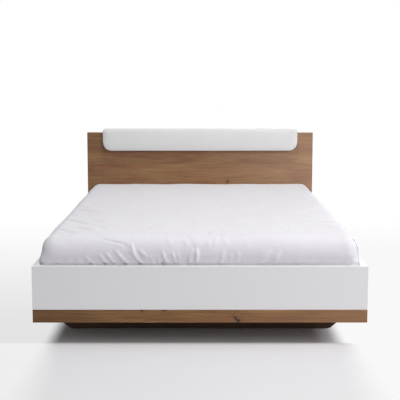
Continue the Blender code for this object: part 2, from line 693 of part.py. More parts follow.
def fold_line():
    """Shares of the half width where the foot side has a crest or a valley, with lean and strength."""
    crests = list(zip(CREST_SHARES, CREST_LEAN_SHARES, CREST_STRENGTH_SHARES))
    line = [outer_valley(crests[0], crests[1])]
    for near, far in zip(crests, crests[1:]):
        line += [near, ((near[0] + far[0]) / 2, (near[1] + far[1]) / 2, 0)]
    return line + [crests[-1], outer_valley(crests[-1], crests[-2])]


def fold_fullness(z):
    """How full the folds are at a height: nothing at the footboard, full a little above, nothing on top."""
    top = MATTRESS_LOW + MATTRESS_HEIGHT - MATTRESS_CROWN
    return max(0.0, min((z - FRAME_TOP) / FOLD_RISE, 1.0, (top - z) / MATTRESS_TOP_ROUND))


def sheet_shape():
    """The sheet as one shell: down its outer face and folds, round the hem, and up its inner face."""
    line = fold_line()
    flat_share = 1 - MATTRESS_CORNER_ROUND / (MATTRESS_WIDTH / 2)
    foot_shares = [(share / flat_share + 1) / 2 for share, _, _ in line]
    side_levels = (FRAME_TOP, FRAME_TOP + FOLD_RISE)
    outer = mattress_loops(0, foot_shares, side_levels)
    inner = mattress_loops(SHEET_THICKNESS, foot_shares, side_levels)
    for loop in outer:
        for k, (_, lean, strength) in enumerate(line, start=MATTRESS_CORNER_STEPS + 1):
            x, y, z = loop[k]
            shift = lean * max(0.0, z - FRAME_TOP)
            loop[k] = (x + shift, y - FOLD_HEIGHT * strength * fold_fullness(z), z)
    hem = []
    for loops in (outer, inner):
        level = loops[0][0][2]
        hem.append([(x, y, level) for x, y in mattress_loop(SHEET_HEM_REACH, foot_shares)])
    return loft(outer[::-1] + hem + inner)


def build_mattress(surfaces, mattress):
    """The mattress core, and the fitted sheet that is drawn over it and hemmed under its edges."""
    core = loft(mattress_loops(SHEET_THICKNESS + SHEET_EASE, even_shares(MATTRESS_SIDE_STEPS), ()))
    round_piece("mattress_core", core, surfaces["ticking"], mattress)
    round_piece("fitted_sheet", sheet_shape(), surfaces["cotton"], mattress)


def main():
    """Builds the whole bed."""
    clear_scene()
    surfaces = build_surfaces()
    frame = link("bed_frame", None)
    mattress = link("mattress", None, (0, BAY_MIDDLE, MATTRESS_LOW))
    boards = build_boards(surfaces, frame)
    boards["skid"] = build_skid(surfaces, frame)
    holes = {key: [] for key in boards}
    build_cushion(surfaces, frame)
    build_glides(surfaces, frame)
    build_ledges(surfaces, frame)
    build_beam(surfaces, frame)
    build_leg(surfaces, frame)
    build_brackets(holes, surfaces, frame)
    holes["rail", "foot"] += build_saddle("foot", FOOT_INNER, 1, surfaces, frame)
    holes["head"] += build_saddle("head", HEAD_FRONT, -1, surfaces, frame)
    for key, board in boards.items():
        drill(board, holes[key])
    build_slats(surfaces, frame)
    build_mattress(surfaces, mattress)


main()
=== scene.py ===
"""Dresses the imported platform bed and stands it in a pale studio.

Metres, +Z up: X runs across the bed and Y from the foot end to the headboard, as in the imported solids.
New surfaces are functions of two parameters, worked out with numpy, and every finish is a set of nodes
that read Object coordinates or the cloth's own UV map.
"""

import itertools
import logging
import math
from collections.abc import Callable
from dataclasses import dataclass, field, replace
from enum import Enum

import bpy
import numpy as np
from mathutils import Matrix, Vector


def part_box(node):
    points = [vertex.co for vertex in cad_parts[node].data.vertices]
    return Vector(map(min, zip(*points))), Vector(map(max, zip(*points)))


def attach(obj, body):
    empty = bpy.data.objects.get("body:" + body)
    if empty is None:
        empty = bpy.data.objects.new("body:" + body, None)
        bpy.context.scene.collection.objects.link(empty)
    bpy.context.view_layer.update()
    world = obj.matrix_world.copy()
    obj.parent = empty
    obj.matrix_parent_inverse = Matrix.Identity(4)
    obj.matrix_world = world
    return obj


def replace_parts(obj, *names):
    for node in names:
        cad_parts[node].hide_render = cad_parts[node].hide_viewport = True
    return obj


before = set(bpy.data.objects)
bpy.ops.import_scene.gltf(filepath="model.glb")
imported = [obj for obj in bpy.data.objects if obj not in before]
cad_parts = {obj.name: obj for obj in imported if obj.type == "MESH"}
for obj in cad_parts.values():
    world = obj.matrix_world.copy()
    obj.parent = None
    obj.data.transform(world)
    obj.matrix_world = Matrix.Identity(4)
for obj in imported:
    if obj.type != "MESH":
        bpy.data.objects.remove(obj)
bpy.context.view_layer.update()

LOG = logging.getLogger("bed")
FRAME_BODY = "bed_frame"
MATTRESS_BODY = "mattress"
CLOTH_UV = "cloth"
PAINTED_CREASE_SHADE = "hollow"
MILLIMETRES = 1000
TINY = 1e-6
WELD_DISTANCE = 1e-5

Colour = tuple[float, float, float, float]
Socket = bpy.types.NodeSocket
Feed = Socket | float | tuple[float, ...]
Place = tuple[float, float, float]
CreaseRow = tuple[tuple[int, ...], *tuple[float, ...]]


class Run(Enum):
    """Which way a board's grain runs."""

    ACROSS_BED = 0.0
    ALONG_BED = -math.pi / 2


class Named(Enum):
    """Options whose names are written in small letters in the names of nodes and pieces."""

    def __str__(self) -> str:
        """The option's word."""
        return self.name.lower()


class Side(Named):
    """The bed's long sides, with the sign of their X."""

    LEFT = -1
    RIGHT = 1


class End(Named):
    """The bed's ends, with the sign of their Y."""

    FOOT = -1
    HEAD = 1


class Wiring:
    """Lays nodes into one node tree and joins them."""

    def __init__(self, tree: bpy.types.NodeTree) -> None:
        """Keeps the tree that the nodes go into."""
        self.tree = tree

    def add(self, kind: str, **settings: object) -> bpy.types.Node:
        """Adds a node.

        Args:
            kind: The node type's name.
            settings: Properties of the node, by name.

        Returns:
            The new node.
        """
        node = self.tree.nodes.new(kind)
        for key, value in settings.items():
            setattr(node, key, value)
        return node

    def feed(self, socket: Socket, value: Feed) -> None:
        """Joins a socket to the one that feeds it, or sets it to a plain value.

        Args:
            socket: The input.
            value: Another socket, a number, a vector or a colour.
        """
        if isinstance(value, bpy.types.NodeSocket):
            self.tree.links.new(value, socket)
        else:
            socket.default_value = value

    def math(self, operation: str, first: Feed, second: Feed = 0.0) -> Socket:
        """Works out one value from two.

        Args:
            operation: The Math node's operation.
            first: Its first value.
            second: Its second value.

        Returns:
            The result.
        """
        node = self.add("ShaderNodeMath", operation=operation)
        self.feed(node.inputs[0], first)
        self.feed(node.inputs[1], second)
        return node.outputs[0]

    def times(self, first: Feed, second: Feed) -> Socket:
        """One value times another."""
        return self.math("MULTIPLY", first, second)

    def plus(self, first: Feed, second: Feed) -> Socket:
        """The sum of two values."""
        return self.math("ADD", first, second)

    def minus(self, first: Feed, second: Feed) -> Socket:
        """One value less another."""
        return self.math("SUBTRACT", first, second)

    def vector_math(self, operation: str, first: Feed, second: Feed = (0.0, 0.0, 0.0)) -> Socket:
        """Works out a vector, or a length, from two vectors.

        Args:
            operation: The Vector Math node's operation.
            first: Its first vector.
            second: Its second vector.

        Returns:
            The resulting vector, or the value where the operation gives one.
        """
        node = self.add("ShaderNodeVectorMath", operation=operation)
        self.feed(node.inputs[0], first)
        self.feed(node.inputs[1], second)
        return node.outputs["Value" if operation in {"LENGTH", "DISTANCE", "DOT_PRODUCT"} else "Vector"]

    def stretched(self, place: Feed, shares: Feed) -> Socket:
        """A vector with each of its parts multiplied by its own share."""
        return self.vector_math("MULTIPLY", place, shares)

    def noise(self, place: Feed, scale: float, detail: float = 2.0, distortion: float = 0.0) -> Socket:
        """A soft random value from 0 to 1 that varies over the surface.

        Args:
            place: Where the surface point is.
            scale: How many patches there are in a metre.
            detail: How many finer layers lie on the first.
            distortion: How much the patches are warped.

        Returns:
            The value.
        """
        node = self.add("ShaderNodeTexNoise")
        self.feed(node.inputs["Vector"], place)
        node.inputs["Scale"].default_value = scale
        node.inputs["Detail"].default_value = detail
        node.inputs["Distortion"].default_value = distortion
        return node.outputs["Fac"]

    def span(self, value: Feed, low: Feed, high: Feed, start: float = 0.0, end: float = 1.0) -> Socket:
        """Eases a value from one span into another, held at its ends.

        Args:
            value: What is mapped.
            low: The value that gives the start.
            high: The value that gives the end.
            start: The result at and below the low value.
            end: The result at and above the high value.

        Returns:
            The mapped value.
        """
        node = self.add("ShaderNodeMapRange", interpolation_type="SMOOTHSTEP")
        names = ("Value", "From Min", "From Max", "To Min", "To Max")
        for name, given in zip(names, (value, low, high, start, end)):
            self.feed(node.inputs[name], given)
        return node.outputs["Result"]

    def blend(self, share: Feed, first: Feed, second: Feed) -> Socket:
        """Mixes two colours.

        Args:
            share: How much of the second colour shows.
            first: The first colour.
            second: The second colour.

        Returns:
            The mixed colour.
        """
        node = self.add("ShaderNodeMix", data_type="RGBA")
        colour_inputs = [socket for socket in node.inputs if socket.type == "RGBA"]
        self.feed(node.inputs[0], share)
        self.feed(colour_inputs[0], first)
        self.feed(colour_inputs[1], second)
        return next(socket for socket in node.outputs if socket.type == "RGBA")

    def over(self, colour: Feed, *layers: tuple[Socket, float, Feed]) -> Socket:
        """Lays colours over a first one.

        Args:
            colour: The colour underneath.
            layers: Each layer's mask, how strongly it shows, and its colour.

        Returns:
            The colour that results.
        """
        for mask, strength, tone in layers:
            colour = self.blend(self.times(mask, strength), colour, tone)
        return colour

    def parts(self, vector: Feed) -> tuple[Socket, Socket, Socket]:
        """The X, Y and Z of a vector."""
        node = self.add("ShaderNodeSeparateXYZ")
        self.feed(node.inputs[0], vector)
        return node.outputs[0], node.outputs[1], node.outputs[2]

    def joined(self, x: Feed, y: Feed, z: Feed) -> Socket:
        """A vector from its X, Y and Z."""
        node = self.add("ShaderNodeCombineXYZ")
        for socket, value in zip(node.inputs, (x, y, z)):
            self.feed(socket, value)
        return node.outputs[0]

    def effect(self, group: "Effect", **given: Feed) -> dict[str, Socket]:
        """Places a shared effect with its own values.

        Args:
            group: The effect.
            given: Its inputs by name, with underscores for spaces.

        Returns:
            The effect's outputs by name.
        """
        node = self.add("ShaderNodeGroup", node_tree=group.tree())
        for name, value in given.items():
            self.feed(node.inputs[name.replace("_", " ")], value)
        return {socket.name: socket for socket in node.outputs}

    def figure(
        self, place: Feed, ring_gap: float, wander: float, push: Feed = 0.0, fineness: float = 1.0
    ) -> dict[str, Socket]:
        """Places the figure of wood, at coordinates with the grain along X."""
        given = {"Place": place, "Ring_Gap": ring_gap, "Wander": wander, "Push": push, "Fineness": fineness}
        return self.effect(WOOD_FIGURE, **given)


@dataclass(frozen=True)
class Effect:
    """A node group that several finishes share. It is built the first time that it is asked for."""

    name: str
    takes: tuple[tuple[str, str], ...]
    gives: tuple[str, ...]
    lay: Callable[[Wiring, dict[str, Socket]], dict[str, Socket]]

    def tree(self) -> bpy.types.NodeTree:
        """Finds the group, or builds it.

        Returns:
            The node group.
        """
        found = bpy.data.node_groups.get(self.name)
        if found:
            return found
        made = bpy.data.node_groups.new(self.name, "ShaderNodeTree")
        for name, kind in self.takes:
            made.interface.new_socket(name, in_out="INPUT", socket_type=f"NodeSocket{kind}")
        for name in self.gives:
            made.interface.new_socket(name, in_out="OUTPUT", socket_type="NodeSocketFloat")
        wiring = Wiring(made)
        entry, leave = wiring.add("NodeGroupInput"), wiring.add("NodeGroupOutput")
        given = {socket.name: socket for socket in entry.outputs if socket.name}
        for name, socket in self.lay(wiring, given).items():
            wiring.feed(leave.inputs[name], socket)
        return made


def lay_board_edge(w: Wiring, given: dict[str, Socket]) -> dict[str, Socket]:
    """Edges of a box-shaped board: the middle one of its three distances to the box's sides is small.

    Args:
        w: The group's wiring.
        given: Place, Low, High and Width.

    Returns:
        A mask along the edges, for wear and painted shade, and the thin joint of the edge band beside them.
    """
    below = w.vector_math("SUBTRACT", given["Place"], given["Low"])
    above = w.vector_math("SUBTRACT", given["High"], given["Place"])
    x, y, z = w.parts(w.vector_math("MINIMUM", below, above))
    least = w.math("MINIMUM", w.math("MINIMUM", x, y), z)
    most = w.math("MAXIMUM", w.math("MAXIMUM", x, y), z)
    total = w.plus(w.plus(x, y), z)
    middle = w.minus(w.minus(total, least), most)
    ragged = w.times(w.noise(given["Place"], 45.0, 4.0), given["Width"])
    wear_and_gap_shade = w.span(w.plus(middle, ragged), 0.0, given["Width"], 1.0, 0.0)
    band = w.math("ABSOLUTE", w.minus(middle, 0.0016))
    return {"Wear": wear_and_gap_shade, "Band Joint": w.span(band, 0.0, 0.0003, 1.0, 0.0)}


def lay_wood_figure(w: Wiring, given: dict[str, Socket]) -> dict[str, Socket]:
    """Flat-sawn figure: rings are even steps of the distance from a pith that wanders beside the board.

    Args:
        w: The group's wiring.
        given: Place with the grain along X, Ring Gap, Wander, Push, which turns the rings round a knot,
            and the streaks' Fineness.

    Returns:
        Rings, Streaks, Pores and Tone, each from 0 to 1.
    """
    place = given["Place"]
    x, y, z = w.parts(place)
    sway = w.noise(w.joined(w.times(x, 1.3), 0.0, 3.0), 1.0, 2.0)
    deep = w.noise(w.joined(w.times(x, 0.9), 7.0, 0.0), 1.0, 1.0)
    offset = w.times(w.minus(sway, 0.5), given["Wander"])
    across = w.minus(z, offset)
    depth = w.plus(y, w.times(deep, 0.16))
    reach = w.vector_math("LENGTH", w.joined(0.0, across, depth))
    warp = w.noise(w.stretched(place, (3.0, 22.0, 22.0)), 1.0, 3.0)
    warped = w.plus(reach, w.times(w.plus(warp, given["Push"]), 0.016))
    turns = w.math("DIVIDE", warped, given["Ring Gap"])
    wave = w.math("SINE", w.times(turns, 2 * math.pi))
    fine = w.joined(given["Fineness"], given["Fineness"], given["Fineness"])
    drawn = w.stretched(w.stretched(place, (3.6, 85.0, 85.0)), fine)
    streaks = w.noise(drawn, 1.0, 4.0, 0.5)
    pores = w.noise(w.stretched(place, (26.0, 1100.0, 1100.0)), 1.0, 1.0)
    tone = w.noise(w.stretched(place, (1.5, 9.0, 9.0)), 1.0, 2.0, 1.0)
    return {
        "Rings": w.span(wave, -0.2, 1.0),
        "Streaks": w.span(streaks, 0.30, 0.72),
        "Pores": w.span(pores, 0.56, 0.74),
        "Tone": w.span(tone, 0.30, 0.70),
    }


def lay_knot(w: Wiring, given: dict[str, Socket]) -> dict[str, Socket]:
    """A knot: a ragged oval core that may lean, and a soft bell round it that pushes the rings aside.

    Args:
        w: The group's wiring.
        given: Place, Centre, Reach (the core's half sizes) and Lean (its turn about the board's normal).

    Returns:
        Core, Halo and Push.
    """
    turn = w.add("ShaderNodeVectorRotate", rotation_type="Y_AXIS")
    w.feed(turn.inputs["Vector"], w.vector_math("SUBTRACT", given["Place"], given["Centre"]))
    w.feed(turn.inputs["Angle"], given["Lean"])
    scaled = w.vector_math("DIVIDE", turn.outputs["Vector"], given["Reach"])
    ragged = w.noise(given["Place"], 260.0, 3.0)
    far = w.plus(w.vector_math("LENGTH", scaled), w.times(ragged, 0.9))
    bell = w.math("POWER", 2.718, w.times(w.times(far, far), -0.09))
    return {"Core": w.span(far, 0.95, 1.55, 1.0, 0.0), "Halo": bell, "Push": w.times(bell, 1.6)}


def lay_plain_weave(w: Wiring, given: dict[str, Socket]) -> dict[str, Socket]:
    """Plain weave: each set of threads is half sine waves, and the waves' product says which is on top.

    Args:
        w: The group's wiring.
        given: Place on the cloth in metres, and Threads in a metre.

    Returns:
        Height of the threads, and Gap between them.
    """
    scale = w.joined(given["Threads"], given["Threads"], given["Threads"])
    u, v, _ = w.parts(w.stretched(given["Place"], scale))
    wave_u = w.math("SINE", w.times(u, math.pi))
    wave_v = w.math("SINE", w.times(v, math.pi))
    over = w.span(w.times(wave_u, wave_v), -0.3, 0.3)
    first = w.times(w.math("ABSOLUTE", wave_u), over)
    second = w.times(w.math("ABSOLUTE", wave_v), w.minus(1.0, over))
    height = w.plus(first, second)
    return {"Height": height, "Gap": w.span(height, 0.05, 0.45, 1.0, 0.0)}


def lay_pebble(w: Wiring, given: dict[str, Socket]) -> dict[str, Socket]:
    """Embossed leather grain: domed cells of two sizes with valleys between them.

    Args:
        w: The group's wiring.
        given: Place and Scale, the cells in a metre.

    Returns:
        Height and Valley.
    """
    shift = w.joined(w.times(w.noise(given["Place"], 900.0), 0.0006), 0.0, 0.0)
    warped = w.vector_math("ADD", given["Place"], shift)
    cells = w.add("ShaderNodeTexVoronoi", feature="DISTANCE_TO_EDGE")
    w.feed(cells.inputs["Vector"], warped)
    w.feed(cells.inputs["Scale"], given["Scale"])
    dome = w.span(cells.outputs["Distance"], 0.0, 0.28)
    fine = w.noise(given["Place"], 2600.0, 2.0)
    return {"Height": w.plus(dome, w.times(fine, 0.35)), "Valley": w.minus(1.0, dome)}


def lay_dust(w: Wiring, given: dict[str, Socket]) -> dict[str, Socket]:
    """Fine dust: soft patches on what faces up.

    Args:
        w: The group's wiring.
        given: Place and Facing, the surface's normal.

    Returns:
        Dust.
    """
    _, _, up = w.parts(given["Facing"])
    patches = w.span(w.noise(given["Place"], 14.0, 6.0), 0.35, 0.70, 0.3, 1.0)
    return {"Dust": w.times(w.span(up, 0.55, 0.95), patches)}


BOARD_EDGE = Effect(
    "board edge",
    (("Place", "Vector"), ("Low", "Vector"), ("High", "Vector"), ("Width", "Float")),
    ("Wear", "Band Joint"),
    lay_board_edge,
)
WOOD_FIGURE = Effect(
    "wood figure",
    (
        ("Place", "Vector"),
        ("Ring Gap", "Float"),
        ("Wander", "Float"),
        ("Push", "Float"),
        ("Fineness", "Float"),
    ),
    ("Rings", "Streaks", "Pores", "Tone"),
    lay_wood_figure,
)
KNOT = Effect(
    "knot",
    (("Place", "Vector"), ("Centre", "Vector"), ("Reach", "Vector"), ("Lean", "Float")),
    ("Core", "Halo", "Push"),
    lay_knot,
)
PLAIN_WEAVE = Effect(
    "plain weave", (("Place", "Vector"), ("Threads", "Float")), ("Height", "Gap"), lay_plain_weave
)
PEBBLE = Effect("pebble", (("Place", "Vector"), ("Scale", "Float")), ("Height", "Valley"), lay_pebble)
DUST = Effect("dust", (("Place", "Vector"), ("Facing", "Vector")), ("Dust",), lay_dust)


class Dressing:
    """One material in the making: its wiring, its shader and the surface's own coordinates."""

    def __init__(self, name: str) -> None:
        """Makes the material with a bare Principled shader."""
        self.material = bpy.data.materials.new(name)
        self.material.use_nodes = True
        self.wiring = Wiring(self.material.node_tree)
        self.shader = self.material.node_tree.nodes["Principled BSDF"]
        self.place = self.wiring.add("ShaderNodeTexCoord").outputs["Object"]

    def set(self, **values: float | Colour) -> None:
        """Sets the shader's own sockets, by name with underscores for spaces."""
        for name, value in values.items():
            self.shader.inputs[name.replace("_", " ")].default_value = value

    def link(self, **sockets: Socket) -> None:
        """Feeds the shader's sockets, by name with underscores for spaces."""
        for name, socket in sockets.items():
            self.wiring.feed(self.shader.inputs[name.replace("_", " ")], socket)

    def bump(self, *layers: tuple[Socket, float]) -> None:
        """Raises the surface by layers of relief.

        Args:
            layers: Pairs of a height from 0 to 1 and how many metres that height is.
        """
        normal = None
        for height, metres in layers:
            node = self.wiring.add("ShaderNodeBump")
            node.inputs["Distance"].default_value = metres
            self.wiring.feed(node.inputs["Height"], height)
            if normal:
                self.wiring.feed(node.inputs["Normal"], normal)
            normal = node.outputs["Normal"]
        self.wiring.feed(self.shader.inputs["Normal"], normal)

    def turned(self, run: Run, shift: Place = (0.0, 0.0, 0.0)) -> Socket:
        """Object coordinates with the grain along X.

        Args:
            run: Which way the grain runs on the bed.
            shift: Moves the pattern, so that boards differ.

        Returns:
            The turned coordinates.
        """
        node = self.wiring.add("ShaderNodeMapping")
        node.inputs["Rotation"].default_value = (0.0, 0.0, run.value)
        node.inputs["Location"].default_value = shift
        self.wiring.feed(node.inputs["Vector"], self.place)
        return node.outputs["Vector"]

    def cloth_place(self) -> Socket:
        """The place on the flat cloth, in metres."""
        return self.wiring.add("ShaderNodeUVMap", uv_map=CLOTH_UV).outputs["UV"]

    def facing(self) -> Socket:
        """The surface's normal."""
        return self.wiring.add("ShaderNodeNewGeometry").outputs["Normal"]


class Finish:
    """A finish with a name. Each kind lays its own nodes."""

    name: str

    def material(self) -> bpy.types.Material:
        """Makes the material."""
        dressing = Dressing(self.name)
        self.lay(dressing, dressing.wiring)
        return dressing.material

    def lay(self, d: Dressing, w: Wiring) -> None:
        """Lays the nodes, in each kind's own way."""
        raise NotImplementedError


@dataclass(frozen=True)
class KnotPlace:
    """A knot in a board: its centre on the bed, its half sizes in metres and its lean in degrees."""

    centre: Place
    reach: Place
    lean: float = 0.0


@dataclass(frozen=True)
class OakLaminate(Finish):
    """Knotty oak print on a board, with a matt lacquer, and painted light: lighter and paler towards +X."""

    name: str
    low: tuple[float, ...]
    high: tuple[float, ...]
    run: Run = Run.ACROSS_BED
    shift: Place = (0.0, 0.0, 0.0)
    knots: tuple[KnotPlace, ...] = ()
    lightness: float = 1.07
    # The next four values paint light and shade into the colour: a level that climbs towards +X, a change of
    # level with height about middle, and a pale sheen towards +X.
    drift: float = 0.16
    rise: float = 0.0
    middle: float = 0.80
    bleach: float = 0.20
    streaked: float = 0.46
    ringed: float = 0.20
    pored: float = 0.45
    haloed: float = 0.35
    # worn darkens the edges and the band joint. This is edge wear, and painted shade of the gap where boards
    # meet.
    worn: float = 0.45
    mineral: float = 0.50
    ring_gap: float = 0.0085
    wander: float = 0.20
    fineness: float = 1.0
    edge_width: float = 0.0022
    red: Colour = (0.255, 0.119, 0.058, 1.0)
    tan: Colour = (0.335, 0.192, 0.090, 1.0)
    olive: Colour = (0.240, 0.150, 0.060, 1.0)
    # pale: the colour of the painted sheen towards +X.
    pale: Colour = (0.430, 0.335, 0.270, 1.0)
    dark: Colour = (0.130, 0.055, 0.024, 1.0)
    knot: Colour = (0.020, 0.009, 0.006, 1.0)
    # edge: dark brown at the edges, for wear and for painted shade of the gap between boards.
    edge: Colour = (0.105, 0.045, 0.022, 1.0)

    def lay(self, d: Dressing, w: Wiring) -> None:
        """Lays tone, streaks, rings and pores in layers, then knots and edges of wear and painted shade.

        Args:
            d: The material in the making.
            w: Its wiring.
        """
        place = d.turned(self.run, self.shift)
        push: Feed = 0.0
        cores: list[Socket] = []
        halos: list[Socket] = []
        for knot in self.knots:
            lean = math.radians(knot.lean)
            found = w.effect(KNOT, Place=d.place, Centre=knot.centre, Reach=knot.reach, Lean=lean)
            push = w.plus(found["Push"], push)
            cores.append(found["Core"])
            halos.append(found["Halo"])
        figure = w.figure(place, self.ring_gap, self.wander, push, self.fineness)
        edge = w.effect(BOARD_EDGE, Place=d.place, Low=self.low, High=self.high, Width=self.edge_width)
        mineral = w.span(w.noise(w.stretched(place, (3.0, 26.0, 26.0)), 1.0, 3.0, 0.8), 0.46, 0.74)
        colour = w.over(
            w.blend(figure["Tone"], self.red, self.tan),
            (mineral, self.mineral, self.olive),
            (figure["Streaks"], self.streaked, self.dark),
            (figure["Rings"], self.ringed, self.dark),
            (figure["Pores"], self.pored, self.dark),
        )
        for core, halo in zip(cores, halos):
            colour = w.blend(core, w.over(colour, (halo, self.haloed, self.dark)), self.knot)
        # Edges and the band joint darken. This is wear, and painted shade of the gap where the boards meet.
        wear_and_gap_shade, joint = edge["Wear"], edge["Band Joint"]
        colour = w.over(colour, (wear_and_gap_shade, self.worn, self.edge), (joint, self.worn, self.dark))
        # Painted light: the colour turns paler and lighter towards +X. Where rise is below zero it turns
        # darker towards the top.
        across, _, up = w.parts(d.place)
        colour = w.blend(w.span(across, -0.30, 1.10, 0.0, self.bleach), colour, self.pale)
        level = w.plus(self.lightness, w.times(across, self.drift))
        level = w.plus(level, w.times(w.minus(up, self.middle), self.rise))
        colour = w.stretched(colour, w.joined(level, level, level))
        d.link(Base_Color=colour, Roughness=w.span(figure["Streaks"], 0.0, 1.0, 0.50, 0.62))
        d.set(Specular_IOR_Level=0.30)
        d.bump((figure["Pores"], -0.00008), (figure["Rings"], 0.00004))


@dataclass(frozen=True)
class WhiteLaminate(Finish):
    """White melamine on a board, with a fine pearl, a banded edge and darker upward faces, painted shade."""

    name: str
    low: tuple[float, ...]
    high: tuple[float, ...]
    white: Colour = (0.85, 0.843, 0.862, 1.0)
    shade: Colour = (0.79, 0.783, 0.80, 1.0)
    joint: Colour = (0.50, 0.48, 0.45, 1.0)
    # band: a darker white for faces that look up. It is painted shade against the light from above.
    band: Colour = (0.645, 0.637, 0.655, 1.0)
    dusty: Colour = (0.66, 0.64, 0.61, 1.0)
    edge_width: float = 0.0016

    def lay(self, d: Dressing, w: Wiring) -> None:
        """Lays the nodes.

        Args:
            d: The material in the making.
            w: Its wiring.
        """
        edge = w.effect(BOARD_EDGE, Place=d.place, Low=self.low, High=self.high, Width=self.edge_width)
        dust = w.effect(DUST, Place=d.place, Facing=d.facing())
        cloud = w.span(w.noise(d.place, 3.5, 4.0), 0.30, 0.75)
        pearl = w.noise(d.place, 1500.0, 2.0)
        colour = w.over(
            self.white,
            (cloud, 0.16, self.shade),
            (edge["Band Joint"], 0.30, self.joint),
            (edge["Wear"], 0.12, self.shade),
        )
        # Painted shade: faces that look up take the darker band colour.
        _, _, up = w.parts(d.facing())
        colour = w.blend(w.span(up, 0.70, 0.95), colour, self.band)
        colour = w.over(colour, (dust["Dust"], 0.10, self.dusty))
        d.link(Base_Color=colour, Roughness=w.span(w.noise(d.place, 22.0, 5.0), 0.3, 0.7, 0.34, 0.46))
        d.bump((pearl, 0.00003), (edge["Wear"], -0.00006))


@dataclass(frozen=True)
class Leatherette(Finish):
    """White leatherette with an embossed grain."""

    name: str = "leatherette"
    white: Colour = (0.755, 0.755, 0.753, 1.0)
    shade: Colour = (0.67, 0.67, 0.665, 1.0)
    valley: Colour = (0.58, 0.58, 0.57, 1.0)
    cells: float = 850.0

    def lay(self, d: Dressing, w: Wiring) -> None:
        """Lays the nodes.

        Args:
            d: The material in the making.
            w: Its wiring.
        """
        pebble = w.effect(PEBBLE, Place=d.place, Scale=self.cells)
        cloud = w.span(w.noise(d.place, 6.0, 5.0), 0.30, 0.75)
        soft = w.noise(w.stretched(d.place, (5.0, 12.0, 26.0)), 1.0, 3.0)
        colour = w.over(self.white, (cloud, 0.20, self.shade), (pebble["Valley"], 0.35, self.valley))
        d.link(Base_Color=colour, Roughness=w.span(pebble["Valley"], 0.0, 1.0, 0.38, 0.62))
        d.set(Sheen_Weight=0.05, Specular_IOR_Level=0.45)
        d.bump((soft, 0.0012), (pebble["Height"], 0.00009))


@dataclass(frozen=True)
class Cotton(Finish):
    """Washed white cotton with a plain weave and soft rumples, and painted shade in its creases."""

    name: str = "cotton"
    white: Colour = (0.765, 0.750, 0.792, 1.0)
    shade: Colour = (0.698, 0.685, 0.720, 1.0)
    # deep: the colour of the painted shade in the creases.
    deep: Colour = (0.50, 0.485, 0.52, 1.0)
    threads: float = 2600.0

    def lay(self, d: Dressing, w: Wiring) -> None:
        """Lays the nodes.

        Args:
            d: The material in the making.
            w: Its wiring.
        """
        cloth = d.cloth_place()
        weave = w.effect(PLAIN_WEAVE, Place=cloth, Threads=self.threads)
        slub = w.noise(w.stretched(cloth, (30.0, 700.0, 1.0)), 1.0, 2.0)
        rumple = w.noise(cloth, 9.0, 5.0, 0.8)
        # Painted shade: the crease attribute darkens the cloth in its grooves, where light does not reach.
        hollow = w.add("ShaderNodeAttribute", attribute_name=PAINTED_CREASE_SHADE).outputs["Fac"]
        colour = w.over(
            self.white,
            (w.span(rumple, 0.35, 0.75), 0.22, self.shade),
            (w.times(slub, weave["Gap"]), 0.35, self.shade),
            (hollow, 0.42, self.deep),
        )
        d.link(Base_Color=colour, Roughness=w.span(slub, 0.3, 0.7, 0.80, 0.92))
        d.set(Sheen_Weight=0.18, Sheen_Roughness=0.45, Specular_IOR_Level=0.25)
        d.bump((rumple, 0.0045), (slub, 0.00005), (weave["Height"], 0.00007))


@dataclass(frozen=True)
class Ticking(Finish):
    """Knitted mattress cover, quilted in waves."""

    name: str = "ticking"
    cream: Colour = (0.78, 0.76, 0.71, 1.0)
    shade: Colour = (0.58, 0.56, 0.52, 1.0)
    stitches: float = 420.0
    quilt_gap: float = 0.11

    def lay(self, d: Dressing, w: Wiring) -> None:
        """Lays the quilting, a grid of sine waves, and stitches in its valleys.

        Args:
            d: The material in the making.
            w: Its wiring.
        """
        knit = w.effect(PLAIN_WEAVE, Place=d.place, Threads=self.stitches)
        x, y, _ = w.parts(d.place)
        sway = w.times(w.math("SINE", w.times(y, 2 * math.pi / self.quilt_gap)), self.quilt_gap / 5)
        line = w.math("SINE", w.times(w.plus(x, sway), math.pi / self.quilt_gap))
        puff = w.span(w.math("ABSOLUTE", line), 0.0, 0.55)
        colour = w.over(self.cream, (knit["Gap"], 0.40, self.shade))
        colour = w.blend(w.span(puff, 0.0, 0.25, 0.45, 0.0), colour, self.shade)
        d.link(Base_Color=colour, Roughness=w.span(w.noise(d.place, 40.0), 0.3, 0.7, 0.84, 0.95))
        d.set(Sheen_Weight=0.2, Specular_IOR_Level=0.2)
        d.bump((puff, 0.004), (knit["Height"], 0.0004))


